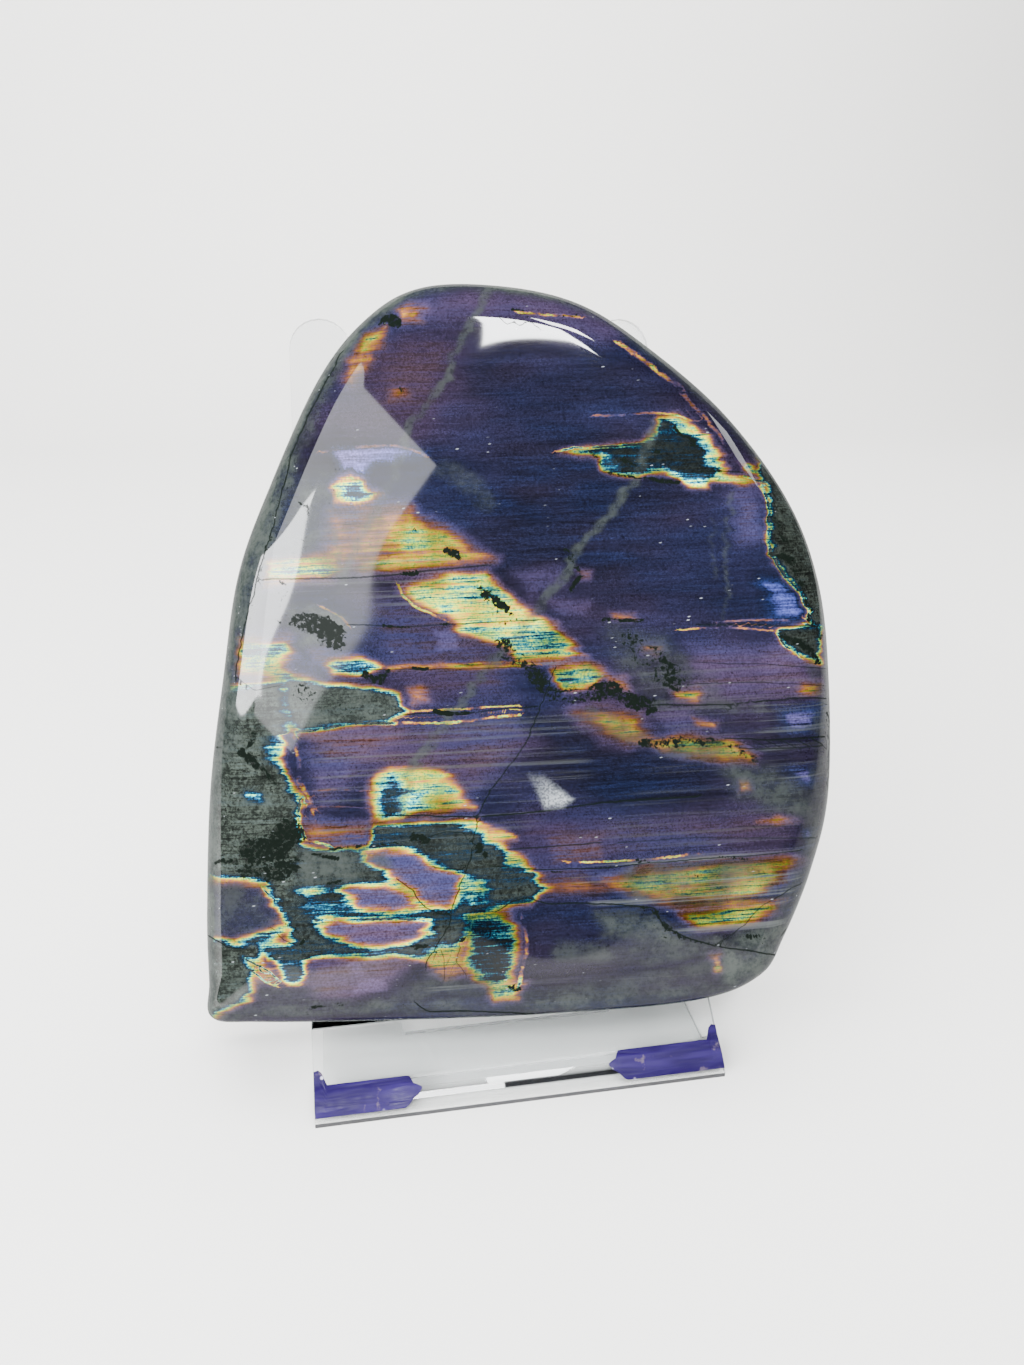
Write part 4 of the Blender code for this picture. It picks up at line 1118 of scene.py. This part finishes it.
def fine_lines(points, lines):
    """Strength near the closest line, and the signed distance from it in line widths."""
    nearest = np.full(len(points), np.inf)
    strength, across = np.zeros(len(points)), np.full(len(points), FAR)
    for width, level, path in lines.values():
        distance, side = path_distance(points, path)
        closer = distance < nearest
        nearest = np.minimum(nearest, distance)
        strength = np.where(closer, level * ease(distance, LINE_REACH, LINE_REACH / 2), strength)
        across = np.where(closer, np.clip(side * distance / (width / 2), -FAR, FAR), across)
    return strength, across


def within(points, areas):
    """How strongly the areas mark each point, the strongest where they overlap."""
    found = np.zeros(len(points))
    for strength, soft, outline in areas.values():
        found = np.maximum(found, strength * ease(polygon_distance(points, outline), soft, -soft))
    return found


def along(points, paths, core):
    """The same for broad paths, which are full within this share of their width."""
    found = np.zeros(len(points))
    for width, strength, path in paths.values():
        found = np.maximum(found, strength * ease(path_distance(points, path)[0], width, width * core))
    return found


def face_markings(seen):
    """What the mesh stores at every point, from the markings above."""
    at = wobbled(seen)
    depth = FIELD_DEPTH + 0.032 * lattice(seen, (150, 60), 21) + 0.022 * lattice(seen, (60, 14), 22)
    gleam = 1.0 + 0.16 * lattice(seen, (90, 26), 23) + 0.14 * lattice(seen, (40, 8), 24)
    for level, soft, shine, outline in PATCHES.values():
        share = ease(polygon_distance(at, outline), soft, -soft)
        depth += (level - depth) * share
        gleam += (shine - gleam) * ease(share, 0.15, 0.7)
    steadier = seen + 0.35 * (at - seen)
    seam, seam_from = fine_lines(steadier, SEAMS)
    crack, crack_from = fine_lines(steadier, CRACKS)
    denser = ease(seen.sum(axis=1), FROST_THIN, FROST_FULL)
    return {
        "depth": depth,
        "gleam": gleam,
        "streak": np.maximum(FIELD_STREAK, within(at, STREAKED)),
        "veil": np.maximum(along(at, VEILS, 0.3), within(at, VEIL_PATCHES)),
        "soot": along(at, SOOT, 0.25),
        "seam": seam,
        "seam_from": seam_from,
        "crack": crack,
        "crack_from": crack_from,
        "frost": ease(polygon_distance(seen, FROST), 2, -6) * (0.2 + 0.8 * denser),
    }


def paint_stone(mesh, points, placing):
    """Store the markings on the mesh: the face's own, and grey-green matrix round the sides and back."""
    world = points @ np.array(placing.to_3x3()).T + np.array(placing.translation)
    normals = np.empty(len(points) * 3)
    mesh.vertices.foreach_get("normal", normals)
    rightwards, upwards, outwards = normals.reshape(-1, 3).T
    on_face = ease(outwards, 0.42, 0.80)
    near_face = ease(outwards, 0.0, 0.4)
    layers = face_markings(in_photo(world))

    flat = points[:, :2] / MM
    pools = ease(lattice(flat, (52, 30), 33) + 0.35 * lattice(flat, (16, 7), 34), 0.28, 0.62)
    pools *= ease(outwards, -0.5, -0.9)
    back_depth = BACK_MATRIX + (BACK_POOL - BACK_MATRIX) * pools + 0.03 * lattice(flat, (9, 4), 36)
    back_soot = BACK_SOOT * ease(lattice(flat, (18, 8), 35), 0.35, 0.8)
    back_veil = SIDE_VEIL * (1 - ease(pools, 0.02, 0.30))
    to_face = outwards > 0
    layers["depth"] = np.where(to_face, layers["depth"], back_depth)
    layers["gleam"] = SIDE_GLEAM + (layers["gleam"] - SIDE_GLEAM) * on_face
    layers["veil"] = np.where(to_face, np.maximum(layers["veil"], SIDE_VEIL * (1 - on_face)), back_veil)
    layers["soot"] = back_soot + (layers["soot"] - back_soot) * near_face
    layers["crack"] *= near_face * ease(rightwards, 0.95, 0.70)
    for name in ("streak", "seam", "frost"):
        layers[name] *= on_face

    turned_away = np.maximum(DOWN_DULL * ease(upwards, 0.03, -0.01), RIGHT_DULL * ease(rightwards, 0.0, 0.15))
    duller = np.maximum(RIM_DULL * ease(outwards, 0.90, 0.50), near_face * turned_away)
    layers["polish"] = 1 - duller * ease(outwards, -0.9, -0.5)
    for name, values in layers.items():
        layer = mesh.attributes.new(name, "FLOAT", "POINT")
        layer.data.foreach_set("value", values.astype(np.float32))


def place_in_scene(name, data):
    """A new object with this data, in the scene."""
    made = bpy.data.objects.new(name, data)
    bpy.context.scene.collection.objects.link(made)
    return made


class OBJECT_OT_labradorite_stone(bpy.types.Operator):
    """Build the polished stone with its flash"""

    bl_idname = "object.labradorite_stone"
    bl_label = "Labradorite Stone"

    def execute(self, context):
        mesh, points = stone_mesh()
        back_way = Vector((0.0, cos(BACK_ANGLE), sin(BACK_ANGLE)))
        back_out = Vector((0.0, -sin(BACK_ANGLE), cos(BACK_ANGLE)))
        placing = Matrix.Translation(FRONT_EDGE + HEEL + (back_way + back_out) * GAP)
        placing = placing @ Matrix.Rotation(BACK_ANGLE, 4, "X")
        paint_stone(mesh, points, placing)
        mesh.transform(placing)
        mesh.materials.append(labradorite_material(context.scene.labradorite_stone))
        stone = place_in_scene("labradorite_stone", mesh)
        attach(stone, "root")
        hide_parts("labradorite")
        return {"FINISHED"}


class OBJECT_OT_labradorite_easel(bpy.types.Operator):
    """Give the easel its finish, and the film pieces their painted reflection of a violet cloth"""

    bl_idname = "object.labradorite_easel"
    bl_label = "Clear Easel"

    def execute(self, context):
        settings = context.scene.labradorite_easel
        clear = acrylic_material(settings)
        violet = painted_reflection_material(settings)
        # film_left and film_right carry a painted reflection of a violet cloth, where the lip shows only that
        # reflection
        for name, surface in (("easel", clear), ("film_left", violet), ("film_right", violet)):
            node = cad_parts[name]
            node.data.materials.clear()
            node.data.materials.append(surface)
        return {"FINISHED"}


def area_light(name, place, target, size, power, colour=(1.0, 1.0, 1.0), roll=0.0):
    """A rectangular light that looks at a point, turned by roll degrees about that line."""
    light = bpy.data.lights.new(name, "AREA")
    light.shape = "RECTANGLE"
    light.size, light.size_y = size
    light.energy = power
    light.color = colour
    made = place_in_scene(name, light)
    made.location = place
    aim = (Vector(target) - Vector(place)).to_track_quat("-Z", "Y").to_matrix()
    made.rotation_euler = (aim @ Matrix.Rotation(radians(roll), 3, "Z")).to_euler()
    return made


def from_stone(turn, rise, distance):
    """A place round the stone: degrees from straight in front towards the right, degrees up, and metres."""
    turn, rise = radians(turn), radians(rise)
    return STONE_MIDDLE + distance * Vector((cos(rise) * sin(turn), -cos(rise) * cos(turn), sin(rise)))


def build_floor(settings):
    """Seamless paper: flat, then bent up into a wall."""
    half = settings.floor_size / 2
    profile = [(FLOOR_FRONT, 0.0)]
    for step in range(BEND_STEPS + 1):
        angle = pi / 2 * step / BEND_STEPS
        profile.append((FLOOR_BACK + FLOOR_BEND * sin(angle), FLOOR_BEND * (1 - cos(angle))))
    profile.append((FLOOR_BACK + FLOOR_BEND, WALL_TOP))
    points = [(side, *spot) for spot in profile for side in (-half, half)]
    faces = [(left, left + 1, left + 3, left + 2) for left in range(0, len(points) - 2, 2)]
    mesh = new_mesh("studio_floor", points, faces)
    mesh.materials.append(stage_material(settings))
    place_in_scene("studio_floor", mesh)


def build_lights(scene):
    """Soft light all round, the panels that the polish reflects, and a faint sky."""
    for name, place, target, size, power in SOFT_LIGHTS:
        area_light(name, place, target, size, power).visible_glossy = False
    for name, (turn, rise, distance), size, roll, power in PANELS:
        area_light(name, from_stone(turn, rise, distance), STONE_MIDDLE, size, power, PANEL_COLOUR, roll)
    scene.world = bpy.data.worlds.new("studio")
    scene.world.use_nodes = True
    sky = scene.world.node_tree.nodes["Background"]
    sky.inputs["Color"].default_value = SKY_COLOUR
    sky.inputs["Strength"].default_value = SKY_STRENGTH


def build_camera(scene):
    """The camera where the photograph was taken from."""
    camera = bpy.data.cameras.new("camera")
    camera.sensor_width = SENSOR
    camera.lens = FOCAL_PIXELS / PHOTO_HEIGHT * SENSOR
    camera.clip_start = 0.01
    place, right, up, forward = camera_axes()
    eye = place_in_scene("camera", camera)
    eye.matrix_world = Matrix.Translation(place) @ Matrix((right, up, -forward)).transposed().to_4x4()
    scene.camera = eye


class OBJECT_OT_labradorite_stage(bpy.types.Operator):
    """Set up the floor, the soft lights and the camera"""

    bl_idname = "object.labradorite_stage"
    bl_label = "Studio"

    def execute(self, context):
        build_floor(context.scene.labradorite_stage)
        build_lights(context.scene)
        build_camera(context.scene)
        return {"FINISHED"}


class VIEW3D_PT_labradorite(bpy.types.Panel):
    """Sidebar panel with the settings and the pieces."""

    bl_label = "Labradorite"
    bl_space_type = "VIEW_3D"
    bl_region_type = "UI"
    bl_category = "Labradorite"

    def draw(self, context):
        scene = context.scene
        for label, group, operator in (
            ("Stone", scene.labradorite_stone, "object.labradorite_stone"),
            ("Easel", scene.labradorite_easel, "object.labradorite_easel"),
            ("Studio", scene.labradorite_stage, "object.labradorite_stage"),
        ):
            box = self.layout.box()
            box.label(text=label)
            for name in group.__annotations__:
                box.prop(group, name)
            box.operator(operator)


SETTINGS = {
    "labradorite_stone": StoneSettings,
    "labradorite_easel": EaselSettings,
    "labradorite_stage": StageSettings,
}
CLASSES = (
    *SETTINGS.values(),
    OBJECT_OT_labradorite_stone,
    OBJECT_OT_labradorite_easel,
    OBJECT_OT_labradorite_stage,
    VIEW3D_PT_labradorite,
)


def register():
    for cls in CLASSES:
        bpy.utils.register_class(cls)
    for name, group in SETTINGS.items():
        setattr(bpy.types.Scene, name, PointerProperty(type=group))


def unregister():
    for name in SETTINGS:
        delattr(bpy.types.Scene, name)
    for cls in reversed(CLASSES):
        bpy.utils.unregister_class(cls)


def main():
    """Build every piece in order."""
    register()
    bpy.ops.object.labradorite_stone()
    bpy.ops.object.labradorite_easel()
    bpy.ops.object.labradorite_stage()


if __name__ == "__main__":
    main()
